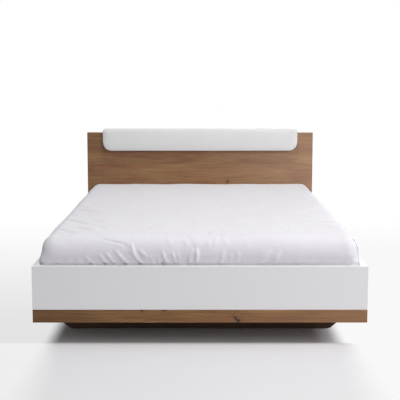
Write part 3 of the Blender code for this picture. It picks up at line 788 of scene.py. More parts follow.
@dataclass(frozen=True)
class LayeredWood(Finish):
    """Veneers glued on each other: the faces show grain and the cut edges show the layers."""

    name: str
    face: Colour
    dark: Colour
    glue: Colour
    run: Run
    layer: float
    arc: tuple[float, float, float, float] | None = None
    ring_gap: float = 0.012
    wander: float = 0.5

    def layers(self, d: Dressing) -> Socket:
        """Height through the layers, in layers. On a slat it is measured from the slat's own arc.

        Args:
            d: The material in the making.

        Returns:
            The number of the layer, as a value that grows through the wood.
        """
        w = d.wiring
        x, y, z = w.parts(d.place)
        if self.arc is None:
            return w.math("DIVIDE", y, self.layer)
        start, length, crown, low = self.arc
        share = w.math("DIVIDE", w.minus(w.math("ABSOLUTE", x), start), length)
        rise = w.times(w.times(share, w.minus(1.0, share)), 4 * crown)
        return w.math("DIVIDE", w.minus(w.minus(z, low), rise), self.layer)

    def lay(self, d: Dressing, w: Wiring) -> None:
        """Lays the nodes.

        Args:
            d: The material in the making.
            w: Its wiring.
        """
        figure = w.figure(d.turned(self.run), self.ring_gap, self.wander)
        facing_x, facing_y, facing_z = w.parts(d.facing())
        flat = w.math("ABSOLUTE", facing_y if self.arc is None else facing_z)
        cut = w.span(flat, 0.25, 0.75, 1.0, 0.0)
        depth = self.layers(d)
        line = w.span(w.math("ABSOLUTE", w.minus(w.math("FRACT", depth), 0.5)), 0.40, 0.48)
        crosswise = w.span(w.math("PINGPONG", w.math("FLOOR", depth), 1.0), 0.0, 1.0)
        colour = w.over(self.face, (figure["Streaks"], 0.35, self.dark), (figure["Rings"], 0.18, self.dark))
        edge = w.over(self.face, (crosswise, 0.55, self.dark))
        edge = w.blend(line, edge, self.glue)
        roughness = w.span(figure["Streaks"], 0.0, 1.0, 0.45, 0.60)
        d.link(Base_Color=w.blend(cut, colour, edge), Roughness=roughness)
        d.bump((figure["Pores"], -0.00006), (w.times(line, cut), -0.0001))


@dataclass(frozen=True)
class SolidTimber(Finish):
    """Planed softwood with open grain."""

    name: str
    run: Run
    pale: Colour = (0.66, 0.47, 0.27, 1.0)
    dark: Colour = (0.47, 0.27, 0.12, 1.0)
    ring_gap: float = 0.0045
    wander: float = 0.12

    def lay(self, d: Dressing, w: Wiring) -> None:
        """Lays the nodes.

        Args:
            d: The material in the making.
            w: Its wiring.
        """
        figure = w.figure(d.turned(self.run), self.ring_gap, self.wander)
        colour = w.over(self.pale, (figure["Rings"], 0.60, self.dark), (figure["Streaks"], 0.20, self.dark))
        d.link(Base_Color=colour, Roughness=w.span(figure["Rings"], 0.0, 1.0, 0.58, 0.70))
        d.bump((figure["Rings"], 0.00012), (figure["Pores"], -0.00008))


@dataclass(frozen=True)
class Webbing(Finish):
    """Woven tape with ribs along it."""

    name: str = "woven_tape"
    pale: Colour = (0.76, 0.75, 0.70, 1.0)
    shade: Colour = (0.45, 0.44, 0.41, 1.0)

    def lay(self, d: Dressing, w: Wiring) -> None:
        """Lays the nodes.

        Args:
            d: The material in the making.
            w: Its wiring.
        """
        weave = w.effect(PLAIN_WEAVE, Place=d.place, Threads=850.0)
        worn = w.span(w.noise(d.place, 30.0, 4.0), 0.35, 0.75)
        colour = w.over(self.pale, (weave["Gap"], 0.6, self.shade), (worn, 0.15, self.shade))
        d.link(Base_Color=colour, Roughness=w.span(worn, 0.0, 1.0, 0.80, 0.92))
        d.bump((weave["Height"], 0.0003))


@dataclass(frozen=True)
class ZincSteel(Finish):
    """Zinc-plated steel with soft spangles and rubbed corners."""

    name: str = "zinc_steel"
    bright: Colour = (0.66, 0.67, 0.69, 1.0)
    dull: Colour = (0.47, 0.48, 0.50, 1.0)

    def lay(self, d: Dressing, w: Wiring) -> None:
        """Lays the nodes.

        Args:
            d: The material in the making.
            w: Its wiring.
        """
        cells = w.add("ShaderNodeTexVoronoi")
        w.feed(cells.inputs["Vector"], d.place)
        cells.inputs["Scale"].default_value = 90.0
        shade, _, _ = w.parts(cells.outputs["Color"])
        rub = w.noise(w.stretched(d.place, (40.0, 40.0, 600.0)), 1.0, 3.0)
        colour = w.blend(w.span(shade, 0.0, 1.0, 0.1, 0.8), self.bright, self.dull)
        d.link(Base_Color=colour, Roughness=w.span(w.plus(shade, rub), 0.3, 1.6, 0.28, 0.48))
        d.set(Metallic=1.0)
        d.bump((rub, 0.00003))


@dataclass(frozen=True)
class MouldedPlastic(Finish):
    """Moulded plastic with a spark-eroded skin."""

    name: str
    colour: Colour
    scuffed: Colour

    def lay(self, d: Dressing, w: Wiring) -> None:
        """Lays the nodes.

        Args:
            d: The material in the making.
            w: Its wiring.
        """
        grain = w.noise(d.place, 2400.0, 2.0)
        scuff = w.span(w.noise(d.place, 120.0, 6.0), 0.52, 0.72)
        d.link(
            Base_Color=w.over(self.colour, (scuff, 0.35, self.scuffed)),
            Roughness=w.span(scuff, 0.0, 1.0, 0.46, 0.66),
        )
        d.bump((grain, 0.00004))


def strip_faces(rows: int, columns: int, closed: bool = False, first: int = 0) -> np.ndarray:
    """Quads between neighbouring rows of points that are numbered row by row.

    Args:
        rows: How many rows there are.
        columns: How many points each row has.
        closed: Whether the last point of a row joins its first.
        first: The number of the first point.

    Returns:
        An array of four point numbers per quad.
    """
    across = columns if closed else columns - 1
    row, column = np.meshgrid(np.arange(rows - 1), np.arange(across), indexing="ij")
    after = (column + 1) % columns
    here, above = row * columns, (row + 1) * columns
    quads = (here + column, here + after, above + after, above + column)
    return np.stack(quads, axis=-1).reshape(-1, 4) + first


def welded(points: np.ndarray, quads: np.ndarray) -> tuple[np.ndarray, list[list[int]], np.ndarray]:
    """Joins points that coincide, and turns quads with a vanished side into triangles.

    Args:
        points: The points.
        quads: Four point numbers per face.

    Returns:
        The kept points, the faces, and the numbers of the points that were kept.
    """
    steps = np.round(points / WELD_DISTANCE).astype(np.int64)
    _, kept, number = np.unique(steps, axis=0, return_index=True, return_inverse=True)
    quads = number.reshape(-1)[quads]
    vanished = quads == np.roll(quads, -1, axis=1)
    faces = quads[~vanished.any(axis=1)].tolist()
    for side in range(4):
        single = vanished[:, side] & (vanished.sum(axis=1) == 1)
        faces += np.delete(quads[single], side, axis=1).tolist()
    return points[kept], faces, kept


def as_mesh(
    name: str,
    points: np.ndarray,
    quads: np.ndarray,
    flat_places: np.ndarray | None = None,
    hollow: np.ndarray | None = None,
) -> bpy.types.Mesh:
    """Puts computed points and faces into a smooth-shaded mesh.

    Args:
        name: The mesh's name.
        points: The points.
        quads: Four point numbers per face.
        flat_places: Each point's place on the flat cloth, in metres, for the UV map.
        hollow: How deep each point lies in a groove, from 0 to 1, for the painted shade.

    Returns:
        The mesh.
    """
    mesh = bpy.data.meshes.new(name)
    kept_points, faces, kept = welded(points, quads)
    mesh.from_pydata(kept_points.tolist(), [], faces)
    mesh.shade_smooth()
    if flat_places is not None:
        layer = mesh.uv_layers.new(name=CLOTH_UV)
        corners = np.empty(len(mesh.loops), dtype=np.int64)
        mesh.loops.foreach_get("vertex_index", corners)
        layer.data.foreach_set("uv", flat_places[kept][corners].ravel())
    if hollow is not None:
        depth = mesh.attributes.new(PAINTED_CREASE_SHADE, "FLOAT", "POINT")
        depth.data.foreach_set("value", hollow[kept].astype(np.float32))
    mesh.validate()
    return mesh


def places(mesh: bpy.types.Mesh) -> np.ndarray:
    """Where a mesh's vertices are, as rows of X, Y and Z."""
    found = np.empty(len(mesh.vertices) * 3)
    mesh.vertices.foreach_get("co", found)
    return found.reshape(-1, 3)


def settle(made: bpy.types.Object, material: bpy.types.Material, body: str) -> None:
    """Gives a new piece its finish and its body.

    Args:
        made: The piece.
        material: Its finish.
        body: The body that it moves with.
    """
    made.data.materials.clear()
    made.data.materials.append(material)
    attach(made, body)
    LOG.info("%s: %d faces on %s", made.name, len(made.data.polygons), body)


def add_piece(
    name: str, mesh: bpy.types.Mesh, material: bpy.types.Material, body: str
) -> bpy.types.Object:
    """Puts a new piece on the bed.

    Args:
        name: The piece's name.
        mesh: Its mesh, already in its place.
        material: Its finish.
        body: The body that it moves with.

    Returns:
        The piece.
    """
    made = bpy.data.objects.new(name, mesh)
    bpy.context.scene.collection.objects.link(made)
    settle(made, material, body)
    return made


def dress(node: str, material: bpy.types.Material) -> None:
    """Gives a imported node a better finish.

    Args:
        node: The node's name.
        material: The finish.
    """
    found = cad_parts[node]
    found.data.materials.clear()
    found.data.materials.append(material)
    LOG.info("%s: dressed in %s", node, material.name)


@dataclass(frozen=True)
class Softbox:
    """A soft square lamp: where it hangs, what it faces, the length of its sides and its power in watts."""

    name: str
    place: Place
    aim: Place
    size: float
    watts: float
    lights_floor: bool = True


@dataclass(frozen=True)
class FloorTone:
    """How the floor that the camera sees turns to the pale tone of the photograph's room.

    The lengths are places across the bed or along it. A span is the places between which a change happens,
    followed by its start and end where they aren't 0 and 1.
    """

    foot_line: float = -1.04
    spread: float = 0.20
    right: tuple[float, float] = (-0.3, 0.3)
    at_foot: tuple[float, float] = (-1.06, -1.03)
    inwards: float = 0.06
    beside: tuple[float, float] = (0.79, 0.90)
    middle_back: float = 0.25
    beyond: tuple[float, float] = (1.65, 2.25)
    before: tuple[float, ...] = (-1.1, -2.2, 0.0, 0.45)
    shade: tuple[float, ...] = (1.6, -1.3, 0.0, 0.18)
    shade_before: float = 0.45
    behind: tuple[float, ...] = (2.4, 0.9, 1.0, 0.94)
    white: tuple[float, float] = (2.2, 5.0)

    def share(self, w: Wiring, x: Socket, y: Socket) -> Socket:
        """How far the floor has turned: fully beside the bed and far behind or before it, not under it.

        The change beside the bed is a span of |x|. It widens before the foot and moves inwards on the right.

        Args:
            w: The floor's wiring.
            x: The place across the bed.
            y: The place along the bed.

        Returns:
            The share, from 0 to 1.
        """
        near = w.times(w.math("MAXIMUM", w.minus(self.foot_line, y), 0.0), self.spread)
        inwards = w.times(w.span(y, *self.at_foot, 0.0, self.inwards), w.span(x, *self.right))
        edge = w.plus(w.plus(w.math("ABSOLUTE", x), w.times(near, 0.5)), inwards)
        beyond = w.span(w.math("ABSOLUTE", w.plus(y, self.middle_back)), *self.beyond)
        glow = w.math("MAXIMUM", w.span(y, *self.before), beyond)
        beside = w.span(edge, w.minus(self.beside[0], near), w.plus(self.beside[1], near))
        return w.math("MAXIMUM", beside, glow)

    def strength(self, w: Wiring, place: Socket, x: Socket, y: Socket) -> Socket:
        """How light the pale tone is: white far away, a little less round the bed, still less on its left.

        Args:
            w: The floor's wiring.
            place: The place on the floor.
            x: The place across the bed.
            y: The place along the bed.

        Returns:
            The strength, 1 for white.
        """
        shadow = w.times(w.span(y, *self.shade), w.span(y, *self.at_foot, self.shade_before, 1.0))
        shadow = w.times(shadow, w.minus(1.0, w.span(x, *self.right)))
        tone = w.minus(w.span(y, *self.behind), shadow)
        return w.math("MAXIMUM", tone, w.span(w.vector_math("LENGTH", place), *self.white))


@dataclass
class Studio:
    """The pale room: floor, backdrop, lamps and the camera."""

    camera_place: Place = (0.0, -4.9693, 1.5254)
    camera_pitch_degrees: float = -5.472
    lens: float = 64.773
    sensor: float = 36.0
    shift: float = -0.15
    sight: float = 200.0
    floor_half: float = 40.0
    floor_colour: Colour = (0.875, 0.868, 0.89, 1.0)
    floor_shade: Colour = (0.7, 0.7, 0.7, 1.0)
    floor_tone: FloorTone = FloorTone()
    room_strength: float = 0.34
    lamps: tuple[Softbox, ...] = (
        Softbox("right", (5.2, -1.02, 2.2), (0.3, -0.9, 0.1), 0.6, 92.0),
        Softbox("overhead", (0.2, -1.02, 6.0), (0.1, -1.02, 0.0), 0.7, 134.0),
        Softbox("front_right", (2.6, -4.6, 3.4), (0.0, -0.6, 0.3), 2.0, 96.0, lights_floor=False),
        Softbox("back", (1.5, 6.0, 1.6), (0.0, 1.04, 0.6), 2.0, 70.0, lights_floor=False),
    )

    def add_camera(self) -> None:
        """Puts the camera where the photograph was taken."""
        data = bpy.data.cameras.new("camera")
        data.lens = self.lens
        data.sensor_width = self.sensor
        data.shift_y = self.shift
        data.clip_end = self.sight
        camera = bpy.data.objects.new("camera", data)
        camera.location = self.camera_place
        camera.rotation_euler = (math.radians(90 + self.camera_pitch_degrees), 0.0, 0.0)
        bpy.context.scene.collection.objects.link(camera)
        bpy.context.scene.camera = camera

    def add_lamp(self, lamp: Softbox) -> None:
        """Hangs a soft square lamp, and keeps its light off the floor where it asks for that.

        Args:
            lamp: The lamp's place, aim, size and power.
        """
        data = bpy.data.lights.new(lamp.name, "AREA")
        data.size = lamp.size
        data.energy = lamp.watts
        made = bpy.data.objects.new(lamp.name, data)
        made.location = lamp.place
        made.rotation_euler = (Vector(lamp.aim) - Vector(lamp.place)).to_track_quat("-Z", "Y").to_euler()
        bpy.context.scene.collection.objects.link(made)
        if not lamp.lights_floor:
            made.light_linking.receiver_collection = self.floor_left_out()

    def floor_left_out(self) -> bpy.types.Collection:
        """The set of lit objects for a lamp that lights everything but the floor.

        Returns:
            A collection that leaves the floor out.
        """
        found = bpy.data.collections.get("all_but_floor")
        if found:
            return found
        made = bpy.data.collections.new("all_but_floor")
        made.objects.link(bpy.data.objects["floor"])
        made.collection_objects[0].light_linking.link_state = "EXCLUDE"
        return made

    def add_room(self) -> None:
        """Lights the whole room evenly. The camera, gloss and glass see plain white."""
        world = bpy.data.worlds.new("room")
        bpy.context.scene.world = world
        world.use_nodes = True
        wiring = Wiring(world.node_tree)
        background = world.node_tree.nodes["Background"]
        background.inputs["Color"].default_value = (1.0, 1.0, 1.0, 1.0)
        path = wiring.add("ShaderNodeLightPath")
        seen = wiring.math("MAXIMUM", path.outputs["Is Camera Ray"], path.outputs["Is Glossy Ray"])
        seen = wiring.math("MAXIMUM", seen, path.outputs["Is Transmission Ray"])
        strength = wiring.add("ShaderNodeMapRange")
        wiring.feed(strength.inputs["Value"], seen)
        strength.inputs["To Min"].default_value = self.room_strength
        strength.inputs["To Max"].default_value = 1.0
        wiring.feed(background.inputs["Strength"], strength.outputs["Result"])

    def add_floor(self) -> None:
        """Lays a pale floor that takes the room's tone beside the bed, and turns white far behind it."""
        half = self.floor_half
        points = [(-half, -half, 0.0), (half, -half, 0.0), (half, half, 0.0), (-half, half, 0.0)]
        mesh = bpy.data.meshes.new("floor")
        mesh.from_pydata(points, [], [(0, 1, 2, 3)])
        floor = bpy.data.objects.new("floor", mesh)
        bpy.context.scene.collection.objects.link(floor)
        d = Dressing("studio_floor")
        w = d.wiring
        d.set(Roughness=0.9, Specular_IOR_Level=0.1)
        patches = w.span(w.noise(d.place, 1.2, 3.0), 0.2, 0.8, 0.0, 0.05)
        d.link(Base_Color=w.blend(patches, self.floor_colour, self.floor_shade))
        x, y, _ = w.parts(d.place)
        white = w.add("ShaderNodeEmission")
        w.feed(white.inputs["Strength"], self.floor_tone.strength(w, d.place, x, y))
        path = w.add("ShaderNodeLightPath")
        seen = w.times(path.outputs["Is Camera Ray"], self.floor_tone.share(w, x, y))
        mixed = w.add("ShaderNodeMixShader")
        w.feed(mixed.inputs[0], seen)
        w.feed(mixed.inputs[1], d.shader.outputs[0])
        w.feed(mixed.inputs[2], white.outputs[0])
        output = next(node for node in d.material.node_tree.nodes if node.type == "OUTPUT_MATERIAL")
        w.feed(output.inputs["Surface"], mixed.outputs[0])
        mesh.materials.append(d.material)

    def build(self) -> None:
        """Sets up the whole studio."""
        bpy.context.scene.view_settings.view_transform = "Standard"
        self.add_camera()
        self.add_room()
        self.add_floor()
        for lamp in self.lamps:
            self.add_lamp(lamp)
        LOG.info("studio: camera, floor and %d lamps", len(self.lamps))


@dataclass
class Boards:
    """The oak and white boards of the frame, which keep the shapes of their solids."""

    headboard_knots: tuple[KnotPlace, ...] = (
        KnotPlace((0.232, 1.0035, 0.603), (0.010, 0.02, 0.012)),
        KnotPlace((0.140, 1.0035, 0.733), (0.004, 0.02, 0.003)),
    )
    strip_knots: tuple[KnotPlace, ...] = (
        KnotPlace((0.203, -1.0415, 0.139), (0.024, 0.02, 0.0075), -50.0),
        KnotPlace((0.217, -1.0415, 0.129), (0.013, 0.02, 0.007), 60.0),
        KnotPlace((-0.326, -1.0415, 0.188), (0.010, 0.02, 0.006)),
        KnotPlace((-0.202, -1.0415, 0.188), (0.010, 0.02, 0.006)),
    )
    side_shifts: dict[Side, float] = field(default_factory=lambda: {Side.LEFT: 0.7, Side.RIGHT: -1.9})

    def dress_oak(self, node: str, name: str, **values: object) -> None:
        """Dresses a board in oak, with the values in which it differs from plain oak."""
        low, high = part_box(node)
        dress(node, OakLaminate(name, tuple(low), tuple(high), **values).material())

    def dress_white(self, node: str, name: str) -> None:
        """Dresses a board in white."""
        low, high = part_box(node)
        dress(node, WhiteLaminate(name, tuple(low), tuple(high)).material())

    def build(self) -> None:
        """Dresses every board."""
        self.dress_oak(
            "headboard_panel",
            "oak_headboard",
            knots=self.headboard_knots,
            lightness=1.05,
            # Painted shade: the headboard darkens towards its top.
            rise=-0.20,
            streaked=0.42,
            ringed=0.22,
            mineral=0.26,
            fineness=1.8,
        )
        self.dress_oak(
            "footboard_strip",
            "oak_foot_strip",
            shift=(3.1, 0.0, 0.4),
            knots=self.strip_knots,
            # Painted light: the strip lightens more steeply towards +X.
            drift=0.34,
            bleach=0.10,
            streaked=0.52,
            ringed=0.30,
            red=(0.216, 0.093, 0.035, 1.0),
            tan=(0.332, 0.184, 0.068, 1.0),
        )
        # Painted shade: the skid is the same oak as the other boards, given much darker colours for the
        # shadow under the bed.
        self.dress_oak(
            "skid",
            "oak_skid",
            shift=(-2.2, 0.1, 0.9),
            drift=0.0,
            bleach=0.0,
            red=(0.070, 0.033, 0.019, 1.0),
            tan=(0.092, 0.050, 0.027, 1.0),
            olive=(0.060, 0.037, 0.018, 1.0),
            dark=(0.032, 0.015, 0.009, 1.0),
        )
        self.dress_white("footboard_panel", "white_footboard")
        for side, shift in self.side_shifts.items():
            moved = (shift, 0.2, 0.3)
            self.dress_oak(f"side_strip_{side}", f"oak_{side}_strip", run=Run.ALONG_BED, shift=moved)
            self.dress_white(f"side_rail_{side}", f"white_{side}_rail")


@dataclass
class HeadboardCushion:
    """The padded bolster on the headboard, puffed up by a cloth simulation and wrapped round its board."""

    low: Vector
    high: Vector
    set_in: float = 0.0020
    low_round: float = 0.072
    top_round: float = 0.022
    least_round: float = 0.004
    edge_round: float = 0.010
    edge_steps: int = 6
    crown: float = 0.004
    crown_insets: tuple[float, ...] = (0.035, 0.055, 0.075, 0.088)
    voxel: float = 0.0055
    pressure: float = 4.0
    fabric_mass: float = 0.3
    stretch_stiffness: float = 20.0
    shear_stiffness: float = 8.0
    bending_stiffness: float = 1.0
    quality: int = 5
    frames: int = 20
    most_move: float = 0.0018
    held_depth: float = 0.010
    pucker: float = 0.0011
    pucker_turns: tuple[float, float] = (26.0, 9.0)
    pucker_sway: float = 0.7
    pucker_fade: float = 0.6
    pucker_rim: tuple[float, float] = (0.020, 0.018)
    pucker_back: tuple[float, float] = (0.034, 0.020)
    wrap: float = 0.0057
    pocket: tuple[float, float] = (-0.010, 0.0123)
    sharp_degrees: float = 50.0
    fill: float = 0.85

    def outline(self, inset: float, depth: float, steps: int = 16) -> np.ndarray:
        """A round-cornered rectangle in X and Z at an inset: straight sides joined by quarter circles.

        Args:
            inset: How far the outline lies inside the pad's own.
            depth: How far it lies before the pad's back.
            steps: How many stretches each corner has.

        Returns:
            The outline's points.
        """
        low, high = self.low, self.high
        radii = np.array([self.low_round, self.low_round, self.top_round, self.top_round]) - inset
        radii = np.maximum(radii, self.least_round)
        sign_x, sign_z = np.array([-1, 1, 1, -1]), np.array([-1, -1, 1, 1])
        centre_x = (low.x + high.x) / 2 + sign_x * ((high.x - low.x) / 2 - inset - radii)
        centre_z = (low.z + high.z) / 2 + sign_z * ((high.z - low.z) / 2 - inset - radii)
        turn = np.linspace(0, math.pi / 2, steps + 1)
        angles = np.pi + np.arange(4)[:, None] * math.pi / 2 + turn[None, :]
        x = centre_x[:, None] + radii[:, None] * np.cos(angles)
        z = centre_z[:, None] + radii[:, None] * np.sin(angles)
        return np.stack([x.ravel(), np.full(x.size, high.y - depth), z.ravel()], axis=1)

    def start_shape(self) -> bpy.types.Mesh:
        """The pad before it swells: outlines stacked from its back to its crown, with both ends closed.

        Returns:
            A closed mesh.
        """
        turn = np.linspace(0, math.pi / 2, self.edge_steps + 1)
        wall = self.high.y - self.low.y - self.crown - self.edge_round
        crown_insets = np.array(self.crown_insets)
        insets = np.concatenate([[0.0], self.edge_round * (1 - np.cos(turn)), crown_insets])
        rises = self.edge_round * np.sin(turn) + wall
        share = (crown_insets - self.edge_round) / ((self.high.z - self.low.z) / 2 - self.edge_round)
        crown = wall + self.edge_round + self.crown * (1 - (1 - share) ** 2) - self.set_in
        depths = np.concatenate([[0.0], rises - self.set_in * np.sin(turn), crown])
        return self.stacked("cushion_start", [self.outline(*place) for place in zip(insets, depths)])

    def stacked(self, name: str, loops: list[np.ndarray]) -> bpy.types.Mesh:
        """A closed mesh through outlines of equal length, from the backmost to the foremost.

        Args:
            name: The mesh's name.
            loops: The outlines.

        Returns:
            The mesh.
        """
        count, last = len(loops[0]), len(loops) * len(loops[0])
        faces = strip_faces(len(loops), count, closed=True).tolist()
        faces += [list(range(count))[::-1], list(range(last - count, last))]
        mesh = bpy.data.meshes.new(name)
        mesh.from_pydata(np.concatenate(loops).tolist(), [], faces)
        return mesh

    def baked(self, made: bpy.types.Object) -> None:
        """Makes what an object's modifiers show its own mesh."""
        graph = bpy.context.evaluated_depsgraph_get()
        made.data = bpy.data.meshes.new_from_object(made.evaluated_get(graph))
        made.modifiers.clear()

    def evened(self, start: bpy.types.Mesh) -> bpy.types.Object:
        """Rebuilds a closed mesh from even cells.

        Args:
            start: The closed mesh.

        Returns:
            An object with the even mesh.
        """
        made = bpy.data.objects.new("cushion_pad_cover", start)
        bpy.context.scene.collection.objects.link(made)
        remesh = made.modifiers.new("even", "REMESH")
        remesh.mode = "VOXEL"
        remesh.voxel_size = self.voxel
        self.baked(made)
        return made

    def swell(self, pad: bpy.types.Object) -> None:
        """Puffs the pad up with a short cloth simulation, held at its back, and caps how far it moves.

        Args:
            pad: The even mesh.
        """
        rest = places(pad.data)
        group = pad.vertex_groups.new(name="held")
        group.add(np.flatnonzero(rest[:, 1] > self.high.y - self.held_depth).tolist(), 1.0, "REPLACE")
        cloth = pad.modifiers.new("swell", "CLOTH")
        settings = cloth.settings
        settings.quality = self.quality
        settings.mass = self.fabric_mass
        settings.tension_stiffness = self.stretch_stiffness
        settings.compression_stiffness = self.stretch_stiffness
        settings.shear_stiffness = self.shear_stiffness
        settings.bending_stiffness = self.bending_stiffness
        settings.use_pressure = True
        settings.uniform_pressure_force = self.pressure
        settings.effector_weights.gravity = 0.0
        settings.vertex_group_mass = group.name
        cloth.collision_settings.use_collision = False
        scene = bpy.context.scene
        for frame_number in range(1, self.frames + 1):
            scene.frame_set(frame_number)
        step = places(pad.evaluated_get(bpy.context.evaluated_depsgraph_get()).data) - rest
        length = np.linalg.norm(step, axis=1, keepdims=True)
        step *= np.minimum(1.0, self.most_move / np.maximum(length, TINY))
        pad.modifiers.clear()
        scene.frame_set(1)
        pad.data.vertices.foreach_set("co", (rest + step).ravel())
        most = float(np.linalg.norm(step, axis=1).max())
        LOG.info("cushion: swelled by %.1f mm at most", MILLIMETRES * most)

    def gather(self, pad: bpy.types.Object) -> None:
        """Draws small puckers into the cover where it turns round the big lower corners.

        A pucker's height is a sine of the angle round the corner, faded out away from the rim, from the back
        and towards the corner's two ends.

        Args:
            pad: The swollen pad.
        """
        points = places(pad.data)
        side = np.sign(points[:, 0])
        across = (points[:, 0] - side * (self.high.x - self.low_round)) * side
        down = self.low.z + self.low_round - points[:, 2]
        angle = np.arctan2(down, np.maximum(across, TINY))
        corner = (across > 0) & (down > 0)
        radius = np.hypot(across, down)
        rim = np.clip((radius - (self.low_round - self.pucker_rim[0])) / self.pucker_rim[1], 0, 1)
        near_back = np.clip((points[:, 1] - (self.high.y - self.pucker_back[0])) / self.pucker_back[1], 0, 1)
        fade = np.sin(np.clip(angle / (math.pi / 2), 0, 1) * math.pi) ** self.pucker_fade
        sway = self.pucker_sway * np.sin(angle * self.pucker_turns[1])
        wave = self.pucker * np.sin(angle * self.pucker_turns[0] + sway) * rim * near_back * fade * corner
        radius = np.maximum(radius, TINY)
        points[:, 0] += wave * (across / radius * side)
        points[:, 2] += wave * (-down / radius)
        pad.data.vertices.foreach_set("co", points.ravel())

    def finish_cover(self, pad: bpy.types.Object) -> None:
        """Smooths the cover, and cuts the pocket that its backing board sits in.

        Args:
            pad: The pad.
        """
        smooth = pad.modifiers.new("smooth", "SUBSURF")
        smooth.levels = 1
        smooth.render_levels = 1
        cutter = bpy.data.objects.new(
            "pocket", self.stacked("pocket", [self.outline(self.wrap, depth) for depth in self.pocket])
        )
        bpy.context.scene.collection.objects.link(cutter)
        cut = pad.modifiers.new("pocket", "BOOLEAN")
        cut.operation = "DIFFERENCE"
        cut.object = cutter
        self.baked(pad)
        bpy.data.objects.remove(cutter, do_unlink=True)
        pad.data.shade_smooth()
        pad.data.set_sharp_from_angle(angle=math.radians(self.sharp_degrees))

    def build(self) -> None:
        """Builds the bolster in place of its solid, and dresses its backing board."""
        pad = self.evened(self.start_shape())
        self.swell(pad)
        self.gather(pad)
        self.finish_cover(pad)
        settle(pad, Leatherette().material(), FRAME_BODY)
        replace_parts(pad, "cushion_pad")
        plywood = LayeredWood(
            "plywood",
            (0.60, 0.44, 0.27, 1.0),
            (0.45, 0.30, 0.16, 1.0),
            (0.16, 0.09, 0.05, 1.0),
            Run.ACROSS_BED,
            0.0024,
        )
        dress("cushion_board", plywood.material())


@dataclass(frozen=True)
class MattressForm:
    """A flat slab whose edges are quarter circles, as rings round the flat top's rectangle.

    A ring at the unrolled length s from that rectangle lies sin(s / r) of the top round outside it, then
    straight down the wall, round the low edge and inwards under the slab.
    """

    centre_y: float
    half_x: float
    half_y: float
    low: float
    top: float
    top_round: float
    low_round: float
    crown: float
    crown_run: float = 0.45

    def wall_start(self) -> float:
        """Unrolled length where the wall begins."""
        return self.top_round * math.pi / 2

    def wall_end(self) -> float:
        """Unrolled length where the low edge begins."""
        return self.wall_start() + self.top - self.top_round - self.low - self.low_round

    def under_start(self) -> float:
        """Unrolled length where the underside begins."""
        return self.wall_end() + self.low_round * math.pi / 2

    def flat_half(self) -> tuple[float, float]:
        """Half sizes of the flat top's rectangle."""
        return self.half_x - self.top_round, self.half_y - self.top_round

    def profile(self, s: np.ndarray) -> tuple[np.ndarray, np.ndarray, np.ndarray, np.ndarray]:
        """Reach beyond the rectangle, height, and the normal's outward and upward part, at unrolled lengths.

        Args:
            s: Unrolled lengths from the rectangle.

        Returns:
            Four arrays as long as s.
        """
        turn = np.clip(s / self.top_round, 0, math.pi / 2)
        wall = np.clip(s - self.wall_start(), 0, self.wall_end() - self.wall_start())
        tuck = np.clip((s - self.wall_end()) / self.low_round, 0, math.pi / 2)
        under = np.maximum(s - self.under_start(), 0)
        reach = self.top_round * np.sin(turn) - self.low_round * (1 - np.cos(tuck)) - under
        height = self.top - self.top_round * (1 - np.cos(turn)) - wall - self.low_round * np.sin(tuck)
        outward = np.sin(turn) * np.cos(tuck)
        upward = np.where(s < self.wall_end(), np.cos(turn), -np.sin(tuck))
        return reach, height, outward, upward

    def border(self, xs: np.ndarray, ys: np.ndarray, corner_steps: int) -> tuple[np.ndarray, np.ndarray]:
        """Points round the rectangle and the way out from each, with a fan of directions at every corner.

        Args:
            xs: Stations across the bed, from one side to the other.
            ys: Stations along the bed, from the foot to the head.
            corner_steps: How many stretches each corner's fan has.

        Returns:
            The points on the rectangle and their outward directions, from the foot's left corner on.
        """
        half_x, half_y = self.flat_half()
        turn = np.linspace(0, math.pi / 2, corner_steps + 1)[1:-1]
        fan = len(turn)
        foot = np.stack([xs, np.full(len(xs), -half_y)], axis=1)
        right = np.stack([np.full(len(ys), half_x), ys], axis=1)
        head, left = foot[::-1] * (1, -1), right[::-1] * (-1, 1)
        sides = (foot, right, head, left)
        normals = ((0, -1), (1, 0), (0, 1), (-1, 0))
        base, out = [], []
        for number, side in enumerate(sides):
            base += [side, np.repeat(side[-1:], fan, axis=0)]
            start = -math.pi / 2 + number * math.pi / 2
            out.append(np.repeat([normals[number]], len(side), axis=0))
            out.append(np.stack([np.cos(start + turn), np.sin(start + turn)], axis=1))
        return np.concatenate(base), np.concatenate(out).astype(float)

    def crown_at(self, x: np.ndarray, y: np.ndarray) -> np.ndarray:
        """Rise of the top: it eases from the rectangle's edge up to the crown along the crown's run.

        Args:
            x: Places across.
            y: Places along, from the slab's centre.

        Returns:
            The rise at each place.
        """
        half_x, half_y = self.flat_half()
        share = np.clip(np.minimum(half_x - np.abs(x), half_y - np.abs(y)) / self.crown_run, 0, 1)
        return self.crown * share * share * (3 - 2 * share)


@dataclass(frozen=True)
class Tucks:
    """Small hollows just above the footboard, where mattress and sheet are drawn in."""

    places: tuple[float, ...] = (-0.620, -0.5375, -0.425, -0.341, -0.215)
    depth: float = 0.0085
    width: float = 0.0085
    height: float = 0.440
    reach: float = 0.013

    def pressed(self, points: np.ndarray, normals: np.ndarray) -> np.ndarray:
        """Presses the hollows in: each is a bell across the bed times a bell up the wall.

        Args:
            points: A surface's points.
            normals: Their normals.

        Returns:
            The points with the hollows.
        """
        across = np.exp(-(((points[:, :1] - np.array(self.places)) / self.width) ** 2)).sum(axis=1)
        up = np.exp(-(((points[:, 2] - self.height) / self.reach) ** 2))
        facing = np.clip(-normals[:, 1] * 2 - 1, 0, 1)
        return points - normals * (self.depth * across * up * facing)[:, None]


